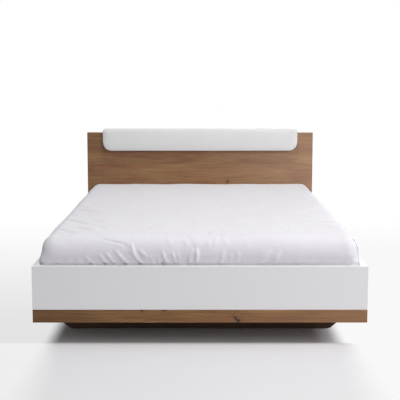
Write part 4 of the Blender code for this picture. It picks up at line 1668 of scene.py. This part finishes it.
@dataclass
class Surface:
    """Points, normals, flat places and quads of a surface in the making."""

    points: list[np.ndarray] = field(default_factory=list)
    normals: list[np.ndarray] = field(default_factory=list)
    flat: list[np.ndarray] = field(default_factory=list)
    quads: list[np.ndarray] = field(default_factory=list)

    def add(
        self, points: np.ndarray, normals: np.ndarray, flat: np.ndarray, closed: bool, flipped: bool
    ) -> None:
        """Adds a grid of points.

        Args:
            points: Rows by columns by 3.
            normals: The same shape.
            flat: Rows by columns by 2.
            closed: Whether each row joins its own start.
            flipped: Whether the faces are turned over.
        """
        first = sum(len(part) for part in self.points)
        quads = strip_faces(points.shape[0], points.shape[1], closed, first)
        self.quads.append(quads[:, ::-1] if flipped else quads)
        self.points.append(points.reshape(-1, 3))
        self.normals.append(normals.reshape(-1, 3))
        self.flat.append(flat.reshape(-1, 2))

    def joined(self) -> tuple[np.ndarray, np.ndarray, np.ndarray, np.ndarray]:
        """Everything so far, as whole arrays."""
        return tuple(np.concatenate(part) for part in (self.points, self.normals, self.flat, self.quads))


def wrapped(
    form: MattressForm, xs: np.ndarray, ys: np.ndarray, lengths: np.ndarray, corner_steps: int
) -> Surface:
    """A cover over a mattress form: its flat top, and rings at unrolled lengths down its sides.

    Args:
        form: The mattress form.
        xs: Stations across.
        ys: Stations along.
        lengths: Unrolled lengths of the rings, from the flat top on.
        corner_steps: How many stretches each corner has.

    Returns:
        The surface.
    """
    made = Surface()
    half = np.array(form.flat_half())
    grid_x, grid_y = np.meshgrid(xs, ys)
    top = np.stack([grid_x, grid_y + form.centre_y, form.top + form.crown_at(grid_x, grid_y)], axis=-1)
    up = np.zeros_like(top)
    up[..., 2] = 1.0
    made.add(top, up, np.stack([grid_x, grid_y], axis=-1), closed=False, flipped=False)
    base, out = form.border(xs, ys, corner_steps)
    reach, height, outward, upward = form.profile(lengths)
    shrink = 1 + np.minimum(reach, 0)[:, None] / half[None, :]
    plan = base[None] * shrink[:, None, :] + out[None] * np.maximum(reach, 0)[:, None, None]
    levels = np.repeat(height[:, None, None], len(base), axis=1)
    points = np.concatenate([plan + (0.0, form.centre_y), levels], axis=2)
    normals = np.concatenate(
        [out[None] * outward[:, None, None], np.repeat(upward[:, None, None], len(base), axis=1)], axis=2
    )
    flat = base[None] + out[None] * lengths[:, None, None]
    made.add(points, normals, flat, closed=True, flipped=True)
    return made


def stations(stops: tuple[float, ...], gaps: tuple[float, ...]) -> np.ndarray:
    """Stations along a line that are closer together in some stretches.

    Args:
        stops: Where each stretch begins, and where the last one ends.
        gaps: The distance between stations in each stretch.

    Returns:
        The stations.
    """
    parts = []
    for begin, end, gap in zip(stops, stops[1:], gaps):
        parts.append(np.linspace(begin, end, max(1, round((end - begin) / gap)), endpoint=False))
    return np.concatenate([*parts, [stops[-1]]])


@dataclass
class MattressCore:
    """The foam mattress in its quilted cover."""

    ease: float = 0.002
    gap: float = 0.02
    folded: tuple[float, float] = (-0.66, -0.18)
    folded_gap: float = 0.005
    ring_gaps: tuple[float, ...] = (0.012, 0.006, 0.006, 0.02)
    corner_steps: int = 8
    fill: float = 0.95

    def build(self, form: MattressForm) -> bpy.types.Object:
        """Builds the mattress in place of its solid, a little inside the sheet.

        Args:
            form: The form that the sheet follows.

        Returns:
            The mattress.
        """
        inner = replace(
            form,
            half_x=form.half_x - self.ease,
            half_y=form.half_y - self.ease,
            low=form.low + self.ease,
            top=form.top - self.ease,
            top_round=form.top_round - self.ease,
            low_round=form.low_round - self.ease,
        )
        half_x, half_y = inner.flat_half()
        xs = stations((-half_x, *self.folded, half_x), (self.gap, self.folded_gap, self.gap))
        ys = stations((-half_y, half_y), (self.gap,))
        end = inner.under_start() + inner.top_round - inner.low_round
        stops = (0.0, inner.wall_start(), inner.wall_end(), inner.under_start(), end)
        surface = wrapped(inner, xs, ys, stations(stops, self.ring_gaps), self.corner_steps)
        grid_x, grid_y = np.meshgrid(xs, ys)
        flat = np.stack([grid_x, grid_y], axis=-1)
        bottom = np.stack([grid_x, grid_y + inner.centre_y, np.full_like(grid_x, inner.low)], axis=-1)
        surface.add(bottom, np.zeros_like(bottom), flat, closed=False, flipped=True)
        points, normals, _, quads = surface.joined()
        mesh = as_mesh("mattress_foam", Tucks().pressed(points, normals), quads)
        core = add_piece("mattress_foam", mesh, Ticking().material(), MATTRESS_BODY)
        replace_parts(core, "mattress_core")
        return core


@dataclass(frozen=True)
class Crease:
    """A ridge or a groove in the cloth.

    Its path runs downwards in pairs: the place across the bed, and the unrolled height above the frame's top.
    Its height is that of its crest, below zero for a groove, and its widths are how far it reaches to either
    side. The fades are the shares of its length over which it dies away at its upper and its lower end.
    """

    path: tuple[tuple[float, float], ...]
    height: float
    widths: tuple[float, float]
    upper_fade: float = 0.55
    lower_fade: float = 0.0


def creases(*rows: CreaseRow) -> list[Crease]:
    """Creases from rows in millimetres.

    Args:
        rows: Each crease's path as one run of numbers, its height, its two widths and perhaps its fades.

    Returns:
        The creases, in metres.
    """
    made = []
    for path, height, left, right, *fades in rows:
        metres = [value / MILLIMETRES for value in path]
        points = tuple(zip(metres[::2], metres[1::2]))
        widths = (left / MILLIMETRES, right / MILLIMETRES)
        made.append(Crease(points, round(height / MILLIMETRES, 7), widths, *fades))
    return made


FOOT_FOLDS = creases(
    ((-650, 50, -635, 35, -599, -4, -594, -10), 6.5, 10, 9),
    ((-572, 66, -558, 47, -518, -4, -513, -10), 8.5, 10, 9),
    ((-532, 78, -518, 55, -498, 31, -467, -10), 8, 9, 8),
    ((-474, 88, -460, 63, -437, 39, -395, -10), 9, 11, 9),
    ((-415, 104, -389, 73, -357, 29, -336, 0), 4.6, 7, 7, 0.3, 0.4),
    ((-391, 125, -385, 108, -371, 72, -353, 39, -306, -10), 7.2, 9, 7, 0.3),
    ((-345, 90, -337, 78, -313, 59, -289, 31), 4.5, 9, 10, 0.4, 0.3),
    ((-283, 55, -273, 31, -257, -10), 5.5, 10, 10),
    ((-240, 65, -236, 30, -230, -10), 3, 8, 8),
    ((-215, 85, -206, 59, -195, 31, -178, -10), 8.5, 10, 9),
    ((-160, 80, -152, 59, -142, 31, -133, -10), 7, 9, 8),
    ((-128, 70, -122, 51, -109, -10), 5, 7, 7),
    ((-40, 95, -45, 76, -58, 39, -65, -10), 9.2, 9, 8),
    ((-18, 100, -18, 76, -18, 39, -22, -10), 10, 10, 10, 0.35),
    ((134, 85, 129, 63, 121, 31, 109, -10), 8.5, 9, 10),
    ((178, 66, 174, 47, 169, -5), 4.5, 10, 10),
    ((216, 80, 213, 63, 208, 0), 3.5, 10, 10),
    ((400, 92, 384, 72, 358, 35, 330, -10), 6.5, 13, 13),
    ((458, 88, 444, 67, 425, 31, 403, -10), 7, 11, 12),
    ((560, 60, 545, 20, 535, -10), 3, 12, 12),
    ((-700, 60, -686, 30, -668, -8), 3, 10, 10),
    ((-735, 65, -742, 30, -745, -5), 2.5, 12, 12),
    ((-810, 60, -800, 30, -790, -5), 2, 12, 12),
)

TOP_CREASES = creases(
    ((-643, 262, -571, 160, -512, 136, -454, 124, -426, 116, -405, 96, -393, 67), -3.4, 6, 6, 0.4, 0.3),
    ((-560, 133, -494, 118, -445, 104, -420, 80), 1.5, 9, 9, 0.4, 0.4),
    ((-409, 92, -389, 59, -349, 10, -338, 0), -1.4, 6, 6, 0.3, 0.5),
    ((-357, 88, -331, 47, -289, 2), -2, 6, 7, 0.3, 0.4),
    ((-850, 640, -817, 608, -705, 499, -670, 470), -3.8, 12, 15, 0.3, 0.35),
    ((-860, 380, -820, 340, -741, 254, -715, 225), -4.2, 10, 13, 0.3, 0.35),
    ((-745, 405, -726, 387, -661, 326, -630, 290), -3.2, 11, 14, 0.3, 0.4),
    ((-840, 980, -806, 953, -697, 868, -660, 840), -3.4, 16, 19, 0.3, 0.4),
    ((-830, 1070, -804, 1056, -729, 1020), -2.6, 16, 19, 0.3, 0.4),
    ((-680, 600, -655, 579, -575, 511), -2.6, 13, 16, 0.3, 0.4),
    ((-613, 405, -557, 369), -2, 13, 14, 0.3, 0.4),
    ((-850, 780, -780, 725), -3, 12, 14, 0.3, 0.4),
    ((-73, 200, -69, 186, -40, 129), -1.6, 12, 12, 0.3, 0.3),
    ((58, 280, 55, 262, 36, 154), -2, 13, 13, 0.3, 0.3),
    ((132, 225, 128, 208, 102, 133), -2, 13, 13, 0.3, 0.3),
    ((-191, 193, -214, 154), -1.4, 12, 12, 0.3, 0.3),
    ((-86, 145, -84, 133, -72, 108, -68, 95), 2.2, 11, 11, 0.4, 0.4),
    ((-18, 140, -19, 129, -23, 104, -24, 95), 2.2, 11, 11, 0.4, 0.4),
    ((92, 165, 90, 154, 81, 112, 78, 98), 2.5, 11, 11, 0.4, 0.4),
    ((55, 140, 53, 129, 45, 104, 42, 92), 2.3, 11, 11, 0.4, 0.4),
    ((-184, 155, -181, 143, -168, 116, -163, 102), 2, 12, 12, 0.4, 0.4),
    ((140, 160, 142, 148, 150, 112, 152, 100), 2, 11, 11, 0.4, 0.4),
    ((689, 937, 791, 1004, 850, 1040), 5.5, 14, 14, 0.4, 0.2),
    ((728, 499, 797, 550, 850, 580), -2.8, 13, 15, 0.3, 0.2),
    ((668, 725, 726, 679), -2, 13, 15, 0.4, 0.4),
    ((742, 424, 774, 387, 830, 350), -2.2, 13, 14, 0.3, 0.3),
    ((579, 254, 627, 279, 700, 300), -1.6, 13, 14, 0.4, 0.4),
)


@dataclass
class FittedSheet:
    """The cotton sheet that is drawn over the mattress and hemmed under it."""

    frame_top: float = 0.440
    hem_reach: float = 0.120
    fold_lift: float = 0.0022
    top_lift: float = 0.0015
    corner_fill: float = 0.018
    corner_height: float = 0.035
    seam_rise: float = 0.0013
    inside_lift: float = 0.0012
    frame_ease: float = 0.016
    deep_groove: float = 0.004
    belly: float = 0.0105
    belly_place: Place = (-0.93, 0.42, 0.468)
    belly_height: float = 0.030
    foot_belly: float = 0.006
    foot_belly_level: float = 0.492
    rumple: float = 0.0011
    rumple_mean: float = 1.6
    rumple_lengths: tuple[float, float] = (0.06, 0.55)
    seed: int = 11
    waves: int = 60
    fold_zone: float = 0.22
    softness: float = 0.0005
    path_steps: int = 6
    across_stops: tuple[float, ...] = (-0.68, 0.22, 0.30, 0.50)
    across_gaps: tuple[float, ...] = (0.0095, 0.0046, 0.0075, 0.0056, 0.0105)
    foot_stops: tuple[float, float] = (0.16, 0.55)
    head_stop: float = 0.35
    along_gaps: tuple[float, ...] = (0.0055, 0.0085, 0.0125, 0.020)
    line_stops: tuple[float, float] = (-0.018, 0.006)
    ring_gaps: tuple[float, ...] = (0.0052, 0.0026, 0.014, 0.010, 0.03)
    corner_steps: int = 14
    seam_turn_degrees: float = 58.0
    seam_start: float = 0.45
    seam_rings: int = 70
    seam_steps: int = 8
    seam_out: float = 0.4
    seam_half_width: float = 0.0024

    def frame_line(self, form: MattressForm) -> float:
        """Unrolled length of the frame's top line on the sheet."""
        return form.wall_start() + form.top - form.top_round - self.frame_top

    def path_points(self, form: MattressForm, crease: Crease) -> np.ndarray:
        """Where a crease runs in space: its path is filled in evenly and laid on the foot side or the top.

        Args:
            form: The mattress form.
            crease: The crease.

        Returns:
            The points of its path.
        """
        given = np.array(crease.path)
        stops = np.linspace(0, len(given) - 1, self.path_steps * (len(given) - 1) + 1)
        x = np.interp(stops, np.arange(len(given)), given[:, 0])
        q = np.interp(stops, np.arange(len(given)), given[:, 1])
        s = self.frame_line(form) - q
        reach, height, _, _ = form.profile(np.maximum(s, 0))
        y = -form.flat_half()[1] - reach + np.maximum(-s, 0)
        lift = np.where(s < 0, form.crown_at(x, y), 0)
        return np.stack([x, y + form.centre_y, height + lift], axis=1)

    def crease_lift(
        self, points: np.ndarray, normals: np.ndarray, path: np.ndarray, crease: Crease
    ) -> np.ndarray:
        """How far one crease lifts the cloth: its height times a bell of the distance from its path.

        Args:
            points: The sheet's points.
            normals: Their normals.
            path: The crease's path.
            crease: The crease.

        Returns:
            The lift at each point.
        """
        lift = np.zeros(len(points))
        margin = 3 * max(crease.widths)
        near = np.all((points > path.min(axis=0) - margin) & (points < path.max(axis=0) + margin), axis=1)
        chosen, ups = points[near], normals[near]
        if not len(chosen):
            return lift
        start, leg = path[:-1], np.diff(path, axis=0)
        apart = chosen[:, None, :] - start[None]
        share = np.clip((apart * leg).sum(axis=2) / (leg * leg).sum(axis=1), 0, 1)
        gap = apart - share[..., None] * leg
        distance = np.linalg.norm(gap, axis=2)
        best = distance.argmin(axis=1)
        rows = np.arange(len(chosen))
        side = np.einsum("ij,ij->i", gap[rows, best], np.cross(leg[best], ups))
        width = np.where(side > 0, crease.widths[0], crease.widths[1])
        along = (best + share[rows, best]) / len(leg)
        upper = np.clip(along / max(crease.upper_fade, TINY), 0, 1) if crease.upper_fade else 1.0
        lower = np.clip((1 - along) / max(crease.lower_fade, TINY), 0, 1) if crease.lower_fade else 1.0
        lift[near] = crease.height * np.exp(-((distance[rows, best] / width) ** 2)) * upper * lower
        return lift

    def rumples(self, flat: np.ndarray) -> np.ndarray:
        """Soft unevenness: many sine waves of random lengths and directions over the flat cloth.

        Args:
            flat: Places on the flat cloth.

        Returns:
            The lift at each place, from about 0 to twice the rumple height.
        """
        random = np.random.default_rng(self.seed)
        lengths = np.exp(random.uniform(*map(math.log, self.rumple_lengths), self.waves))
        turns = random.uniform(0, math.pi, self.waves)
        starts = random.uniform(0, 2 * math.pi, self.waves)
        heights = lengths / lengths.max()
        heights *= self.rumple / math.sqrt((heights**2).sum() / 2)
        directions = np.stack([np.cos(turns), np.sin(turns)], axis=0) * (2 * math.pi / lengths)
        return self.rumple * self.rumple_mean + (heights * np.sin(flat @ directions + starts)).sum(axis=1)

    def shaped(
        self, form: MattressForm, points: np.ndarray, normals: np.ndarray, flat: np.ndarray
    ) -> tuple[np.ndarray, np.ndarray]:
        """Lifts the plain cover into folds, creases and rumples. Nothing sinks under the plain cover.

        Args:
            form: The mattress form.
            points: The plain cover's points.
            normals: Their normals.
            flat: Their places on the flat cloth.

        Returns:
            The shaped points, and how deep each lies in a groove, from 0 to 1, which sets the painted shade.
        """
        lift = self.rumples(flat)
        near_foot = np.exp(-(((points[:, 1] - form.centre_y + form.half_y) / self.fold_zone) ** 2))
        up = np.clip(normals[:, 2], 0, 1)
        off_left = 1 - np.clip(-normals[:, 0], 0, 1)
        lift += self.fold_lift * near_foot * (1 - up) * off_left + self.top_lift * up**6
        grooves = np.zeros(len(points))
        for crease in (*FOOT_FOLDS, *TOP_CREASES):
            change = self.crease_lift(points, normals, self.path_points(form, crease), crease)
            lift += change
            # Groove depths, kept for the painted shade in the creases.
            grooves -= np.minimum(change, 0)
        middle, length, level = self.belly_place
        up_wall = (points[:, 2] - level) / self.belly_height
        along = np.exp(-(((points[:, 1] - middle) / length) ** 2) - up_wall**2)
        lift += self.belly * along * np.clip(-normals[:, 0] * 1.2, 0, 1) ** 2
        bulge = np.exp(-(((points[:, 2] - self.foot_belly_level) / self.belly_height) ** 2))
        lift += self.foot_belly * bulge * np.clip(-normals[:, 1], 0, 1) ** 2
        lift = (lift + np.sqrt(lift**2 + self.softness**2)) / 2
        above = np.clip((points[:, 2] - self.frame_top - self.softness) / self.frame_ease, 0, 1)
        above = above * above * (3 - 2 * above)
        inside = np.where(points[:, 2] > form.low + form.low_round, np.minimum(lift, self.inside_lift), 0)
        total = lift * above + inside * (1 - above) + self.corner_lift(points, normals)
        moved = Tucks().pressed(points + normals * total[:, None], normals)
        return moved, np.clip(grooves / self.deep_groove, 0, 1)

    def corner_lift(self, points: np.ndarray, normals: np.ndarray) -> np.ndarray:
        """Bulge of the foot's two corners: a bell about the frame's top, strongest on the diagonal.

        Args:
            points: The plain cover's points.
            normals: Their normals.

        Returns:
            The lift at each point.
        """
        diagonal = (2 * np.clip(-normals[:, 1], 0, 1) * np.abs(normals[:, 0])) ** 2
        bell = np.exp(-(((points[:, 2] - self.frame_top) / self.corner_height) ** 2))
        return self.corner_fill * diagonal * bell

    def seam(self, form: MattressForm, side: Side, end: End) -> Surface:
        """The sewn seam down one corner: a thin bead carried down the rounded corner.

        Args:
            form: The mattress form.
            side: The corner's side of the bed.
            end: The corner's end of the bed.

        Returns:
            The bead's surface.
        """
        sign_x, sign_y = side.value, end.value
        lengths = np.linspace(form.wall_start() * self.seam_start, form.under_start(), self.seam_rings)
        turn = math.radians(self.seam_turn_degrees)
        reach, height, outward, upward = form.profile(lengths)
        half_x, half_y = form.flat_half()
        way = np.array([sign_x * math.sin(turn), sign_y * math.cos(turn)])
        corner = np.array([sign_x * half_x, sign_y * half_y + form.centre_y])
        plan = corner + reach[:, None] * way
        path = np.concatenate([plan, height[:, None]], axis=1)
        out = np.concatenate([outward[:, None] * way, upward[:, None]], axis=1)
        beside = np.array([sign_x * math.cos(turn), -sign_y * math.sin(turn), 0.0])
        round_steps = np.linspace(0, 2 * math.pi, self.seam_steps + 1)[:-1]
        path, _ = self.shaped(form, path, out, corner + lengths[:, None] * way)
        rise = self.seam_rise * (self.seam_out + np.sin(round_steps))[:, None]
        ring = path[:, None] + out[:, None] * rise
        ring = ring + beside * (self.seam_half_width * np.cos(round_steps))[:, None]
        made = Surface()
        made.add(ring, np.zeros_like(ring), ring[..., :2], closed=True, flipped=sign_x * sign_y > 0)
        return made

    def build(self, form: MattressForm, core: bpy.types.Object) -> None:
        """Builds the sheet in place of its solid, with the seams of its four corners.

        Args:
            form: The mattress form.
            core: The mattress that it rests on. Not used.
        """
        half_x, half_y = form.flat_half()
        xs = stations((-half_x, *self.across_stops, half_x), self.across_gaps)
        near_foot = [stop - half_y for stop in self.foot_stops]
        ys = stations((-half_y, *near_foot, self.head_stop, half_y), self.along_gaps)
        hem = form.under_start() + self.hem_reach - form.low_round
        near_line = [self.frame_line(form) + stop for stop in self.line_stops]
        lengths = stations((0.0, *near_line, form.wall_end(), form.under_start(), hem), self.ring_gaps)
        points, normals, flat, quads = wrapped(form, xs, ys, lengths, self.corner_steps).joined()
        cotton = Cotton().material()
        # The seams' beads are dark grey cotton: painted shade along the stitched seams.
        painted_shade_seam_cotton = Cotton("cotton_seam", (0.40, 0.39, 0.41, 1.0), (0.30, 0.29, 0.31, 1.0)).material()
        shaped, hollow = self.shaped(form, points, normals, flat)
        mesh = as_mesh("sheet_cloth", shaped, quads, flat, hollow)
        sheet = add_piece("sheet_cloth", mesh, cotton, MATTRESS_BODY)
        for side, end in itertools.product(Side, End):
            ring, _, flat, quads = self.seam(form, side, end).joined()
            name = f"sheet_seam_{side}_{end}"
            add_piece(name, as_mesh(name, ring, quads, flat), painted_shade_seam_cotton, MATTRESS_BODY)
        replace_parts(sheet, "fitted_sheet")


@dataclass
class SlatBases:
    """The two roll-out slat bases: bent slats, and the woven tapes that they are stapled to."""

    start: float = 0.003
    length: float = 0.893
    crown: float = 0.012
    thickness: float = 0.010
    plies: int = 6
    stretches: int = 8
    count: int = 14
    tape_width: float = 0.025
    tape_thickness: float = 0.0012
    tape_gap: float = 0.0095
    tape_grip: float = 0.004
    tape_fill: tuple[float, float] = (0.96, 0.9)
    tape_corners: tuple[float, float] = (0.3, 0.6)
    tape_steps: int = 12
    sag: float = 0.0030
    sag_power: float = 1.5
    staple_length: float = 0.0110
    staple_radius: float = 0.0006
    staple_apart: float = 0.018
    staple_sink: float = 0.45
    staple_stops: tuple[float, ...] = (-1.0, -1.0, -0.86, 0.86, 1.0, 1.0)
    staple_bulges: tuple[float, ...] = (0.0, 0.7, 1.0, 1.0, 0.7, 0.0)
    staple_steps: int = 6

    def slats(self, side: Side) -> list[str]:
        """Names of one base's slats."""
        return [f"slat_{side}_{number:02d}" for number in range(1, self.count + 1)]

    def middles(self, side: Side) -> np.ndarray:
        """Places of one base's slats along the bed."""
        return np.array([(low.y + high.y) / 2 for low, high in map(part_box, self.slats(side))])

    def slope(self, x: float) -> float:
        """Slope of the straight stretch of a slat that a place across the bed falls in.

        Args:
            x: The place.

        Returns:
            Rise per length towards +X.
        """
        share = (abs(x) - self.start) / self.length
        stretch = math.floor(share * self.stretches)
        begin, end = stretch / self.stretches, (stretch + 1) / self.stretches
        rise = 4 * self.crown * (end * (1 - end) - begin * (1 - begin))
        return math.copysign(1.0, x) * rise / (self.length / self.stretches)

    def tape(self, name: str, side: Side) -> tuple[np.ndarray, np.ndarray]:
        """A tape that lies flat under every slat and sags between them: a flat section carried along the bed.

        Args:
            name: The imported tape's name.
            side: Which base it belongs to.

        Returns:
            The tape's points and quads.
        """
        low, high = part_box(name)
        first_low, first_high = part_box(self.slats(side)[0])
        middles, held = self.middles(side), (first_high.y - first_low.y) / 2
        y = stations((low.y, high.y), (self.tape_gap,))
        apart = np.abs(y[:, None] - middles[None]).min(axis=1) - held + self.tape_grip
        free = (middles[1] - middles[0]) / 2 - held + self.tape_grip
        drop = self.sag * np.sin(np.clip(apart / free, 0, 1) * math.pi / 2) ** self.sag_power
        middle_x = (low.x + high.x) / 2
        turn = np.linspace(0, 2 * math.pi, self.tape_steps + 1)[:-1]
        wide = np.sign(np.cos(turn)) * np.abs(np.cos(turn)) ** self.tape_corners[0]
        thick = np.sign(np.sin(turn)) * np.abs(np.sin(turn)) ** self.tape_corners[1]
        across = wide * self.tape_width / 2 * self.tape_fill[0]
        up = thick * self.tape_thickness / 2 * self.tape_fill[1]
        z = (low.z + high.z) / 2 + self.slope(middle_x) * across + up
        points = np.stack(
            np.broadcast_arrays((middle_x + across)[None], y[:, None], z[None] - drop[:, None]), axis=-1
        )
        caps = np.repeat(points[[0, -1]].mean(axis=1), self.tape_steps, axis=0)
        total, ring = len(y) * self.tape_steps, np.arange(self.tape_steps)
        after, last = (ring + 1) % self.tape_steps, total - self.tape_steps
        far = total + self.tape_steps
        start_cap = np.stack([ring, total + ring, total + after, after], axis=1)
        end_cap = np.stack([last + after, far + after, far + ring, last + ring], axis=1)
        quads = strip_faces(len(y), self.tape_steps, closed=True)
        return np.concatenate([points.reshape(-1, 3), caps]), np.concatenate([quads, start_cap, end_cap])

    def staples(self, name: str, side: Side) -> tuple[np.ndarray, np.ndarray]:
        """Two wire staples under every slat: half round bars across the tape that thin out at their ends.

        Args:
            name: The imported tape's name.
            side: Which base it belongs to.

        Returns:
            The staples' points and quads.
        """
        low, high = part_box(name)
        ys = (self.middles(side)[:, None] + (-self.staple_apart, self.staple_apart)).ravel()
        along = np.array(self.staple_stops)[None, :, None] * self.staple_length / 2
        thick = np.array(self.staple_bulges)[None, :, None] * self.staple_radius
        turn = np.linspace(0, 2 * math.pi, self.staple_steps + 1)[:-1]
        middle_x = (low.x + high.x) / 2
        under = (low.z + high.z) / 2 - self.tape_thickness * self.staple_sink
        y = ys[:, None, None] + thick * np.cos(turn)
        z = under + self.slope(middle_x) * along + thick * np.sin(turn)
        points = np.stack(np.broadcast_arrays(middle_x + along, y, z), axis=-1)
        single = strip_faces(len(self.staple_stops), self.staple_steps, closed=True)
        firsts = len(self.staple_stops) * self.staple_steps * np.arange(len(ys))
        return points.reshape(-1, 3), (single[None] + firsts[:, None, None]).reshape(-1, 4)

    def build(self) -> None:
        """Dresses the slats and puts the tapes in place of their solids."""
        birch = LayeredWood(
            "birch_slats",
            (0.70, 0.53, 0.34, 1.0),
            (0.50, 0.33, 0.18, 1.0),
            (0.22, 0.12, 0.06, 1.0),
            Run.ACROSS_BED,
            self.thickness / self.plies,
            (self.start, self.length, self.crown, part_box("slat_left_01")[0].z),
        ).material()
        webbing, zinc = Webbing().material(), ZincSteel().material()
        for side in Side:
            for node in self.slats(side):
                dress(node, birch)
            for place in ("inner", "outer"):
                name = f"slat_tape_{side}_{place}"
                mesh = as_mesh(name, *self.tape(name, side))
                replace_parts(add_piece(f"{name}_cloth", mesh, webbing, FRAME_BODY), name)
                mesh = as_mesh(f"{name}_staples", *self.staples(name, side))
                add_piece(f"{name}_staples", mesh, zinc, FRAME_BODY)


@dataclass
class Supports:
    """What carries the slats and the floor's load: ledges, beam, saddles, leg, brackets and glides."""

    steel: bpy.types.Material

    def build(self) -> None:
        """Dresses every support."""
        pine = SolidTimber("pine", Run.ALONG_BED).material()
        plastic = MouldedPlastic("black_plastic", (0.022, 0.022, 0.023, 1.0), (0.075, 0.073, 0.07, 1.0))
        black = plastic.material()
        for side in Side:
            dress(f"slat_ledge_{side}", pine)
            dress(f"headboard_glide_{side}", black)
            dress(f"skid_bracket_{side}", self.steel)
            for end in End:
                dress(f"corner_bracket_{end}_{side}", self.steel)
        for node in ("centre_beam", "beam_saddle_foot", "beam_saddle_head", "centre_leg"):
            dress(node, self.steel)
        for node in ("centre_leg_glide", "skid_glide"):
            dress(node, black)


@dataclass(frozen=True)
class ScrewHead:
    """A domed screw head with a cross recess."""

    radius: float
    height: float
    recess_reach: float
    recess_half_width: float
    recess_depth: float
    steps: int = 32
    dome: float = 0.85
    shares: tuple[float, ...] = (0.0, 0.12, 0.24, 0.36, 0.48, 0.60, 0.72, 0.84, 0.94, 1.0)
    recess_ramp: tuple[float, float] = (0.0004, 0.0006)

    def points(self) -> np.ndarray:
        """The head about +Z, height * sqrt(1 - dome t^2) high at the share t of its radius, less the cross.

        Returns:
            Rings by points by 3, from the crown's middle to the middle of the underside.
        """
        share = np.array(self.shares)[:, None]
        turn = np.linspace(0, 2 * math.pi, self.steps + 1)[:-1]
        x, y = self.radius * share * np.cos(turn), self.radius * share * np.sin(turn)
        arm, along = np.minimum(np.abs(x), np.abs(y)), np.maximum(np.abs(x), np.abs(y))
        inside = np.clip((self.recess_half_width - arm) / self.recess_ramp[0] + 0.5, 0, 1)
        inside = inside * np.clip((self.recess_reach - along) / self.recess_ramp[1] + 0.5, 0, 1)
        z = self.height * np.sqrt(1 - self.dome * share**2) - self.recess_depth * inside
        crown = np.stack([x, y, z], axis=-1)
        rim = np.stack([x[-1], y[-1], np.zeros(self.steps)], axis=-1)
        return np.concatenate([crown, rim[None], np.zeros((1, self.steps, 3))])


@dataclass
class Fasteners:
    """The screws of the ledges and the leg's plate, and the bolts that hold the cushion."""

    steel: bpy.types.Material
    screw: ScrewHead = ScrewHead(0.0048, 0.0024, 0.0028, 0.0006, 0.0013)
    bolt: ScrewHead = ScrewHead(0.0085, 0.0042, 0.0044, 0.0010, 0.0022)
    washer: ScrewHead = ScrewHead(0.0120, 0.0014, 0.0, 0.0, 0.0)
    ledge_screws: int = 7
    ledge_end: float = 0.085
    plate_inset: float = 0.008
    plate_thickness: float = 0.003
    bolt_places: tuple[float, ...] = (-0.62, -0.21, 0.21, 0.62)
    sharp_degrees: float = 40.0

    def placed(self, head: ScrewHead, at: Place, out: Place) -> tuple[np.ndarray, np.ndarray]:
        """Stands a head on a surface.

        Args:
            head: The head.
            at: Where its underside's middle goes.
            out: The way that it faces, along one axis.

        Returns:
            Its points and quads.
        """
        axis = np.array(out, dtype=float)
        side = np.roll(np.abs(axis), 1)
        basis = np.stack([side, np.cross(axis, side), axis])
        rings = head.points() @ basis + np.array(at)
        return rings.reshape(-1, 3), strip_faces(rings.shape[0], rings.shape[1], closed=True)

    def add_group(self, name: str, heads: list[tuple[ScrewHead, Place, Place]]) -> None:
        """Makes one piece from several heads.

        Args:
            name: The piece's name.
            heads: Each head with its place and the way that it faces.
        """
        points, quads, count = [], [], 0
        for head, at, out in heads:
            part, faces = self.placed(head, at, out)
            points.append(part)
            quads.append(faces + count)
            count += len(part)
        mesh = as_mesh(name, np.concatenate(points), np.concatenate(quads))
        mesh.set_sharp_from_angle(angle=math.radians(self.sharp_degrees))
        add_piece(name, mesh, self.steel, FRAME_BODY)

    def build(self) -> None:
        """Builds every group of heads."""
        for side in Side:
            low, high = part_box(f"slat_ledge_{side}")
            face = high.x if side is Side.LEFT else low.x
            ys = np.linspace(low.y + self.ledge_end, high.y - self.ledge_end, self.ledge_screws)
            places = [(face, y, (low.z + high.z) / 2) for y in ys]
            heads = [(self.screw, place, (-side.value, 0, 0)) for place in places]
            self.add_group(f"ledge_screws_{side}", heads)
        low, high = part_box("centre_leg")
        xs = (low.x + self.plate_inset, high.x - self.plate_inset)
        ys = (low.y + self.plate_inset, high.y - self.plate_inset)
        places = itertools.product(xs, ys, (high.z - self.plate_thickness,))
        self.add_group("leg_plate_screws", [(self.screw, place, (0, 0, -1)) for place in places])
        board_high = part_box("headboard_panel")[1]
        level = (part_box("cushion_pad")[0].z + board_high.z) / 2
        heads = []
        for head, back in ((self.washer, board_high.y), (self.bolt, board_high.y + self.washer.height)):
            heads += [(head, (x, back, level), (0, 1, 0)) for x in self.bolt_places]
        self.add_group("cushion_bolts", heads)


def main() -> None:
    """Dresses the whole bed."""
    Studio().build()
    Boards().build()
    HeadboardCushion(*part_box("cushion_pad")).build()
    form = MattressForm(
        centre_y=0.0,
        half_x=0.900,
        half_y=1.000,
        low=0.376,
        top=0.590,
        top_round=0.075,
        low_round=0.030,
        crown=0.006,
    )
    core = MattressCore().build(form)
    FittedSheet().build(form, core)
    SlatBases().build()
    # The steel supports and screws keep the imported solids' plain steel. Only the staples have ZincSteel.
    steel = bpy.data.materials["zinc_steel"]
    Supports(steel).build()
    Fasteners(steel).build()


if __name__ == "__main__":
    logging.basicConfig(level=logging.INFO, format="%(message)s")
    main()
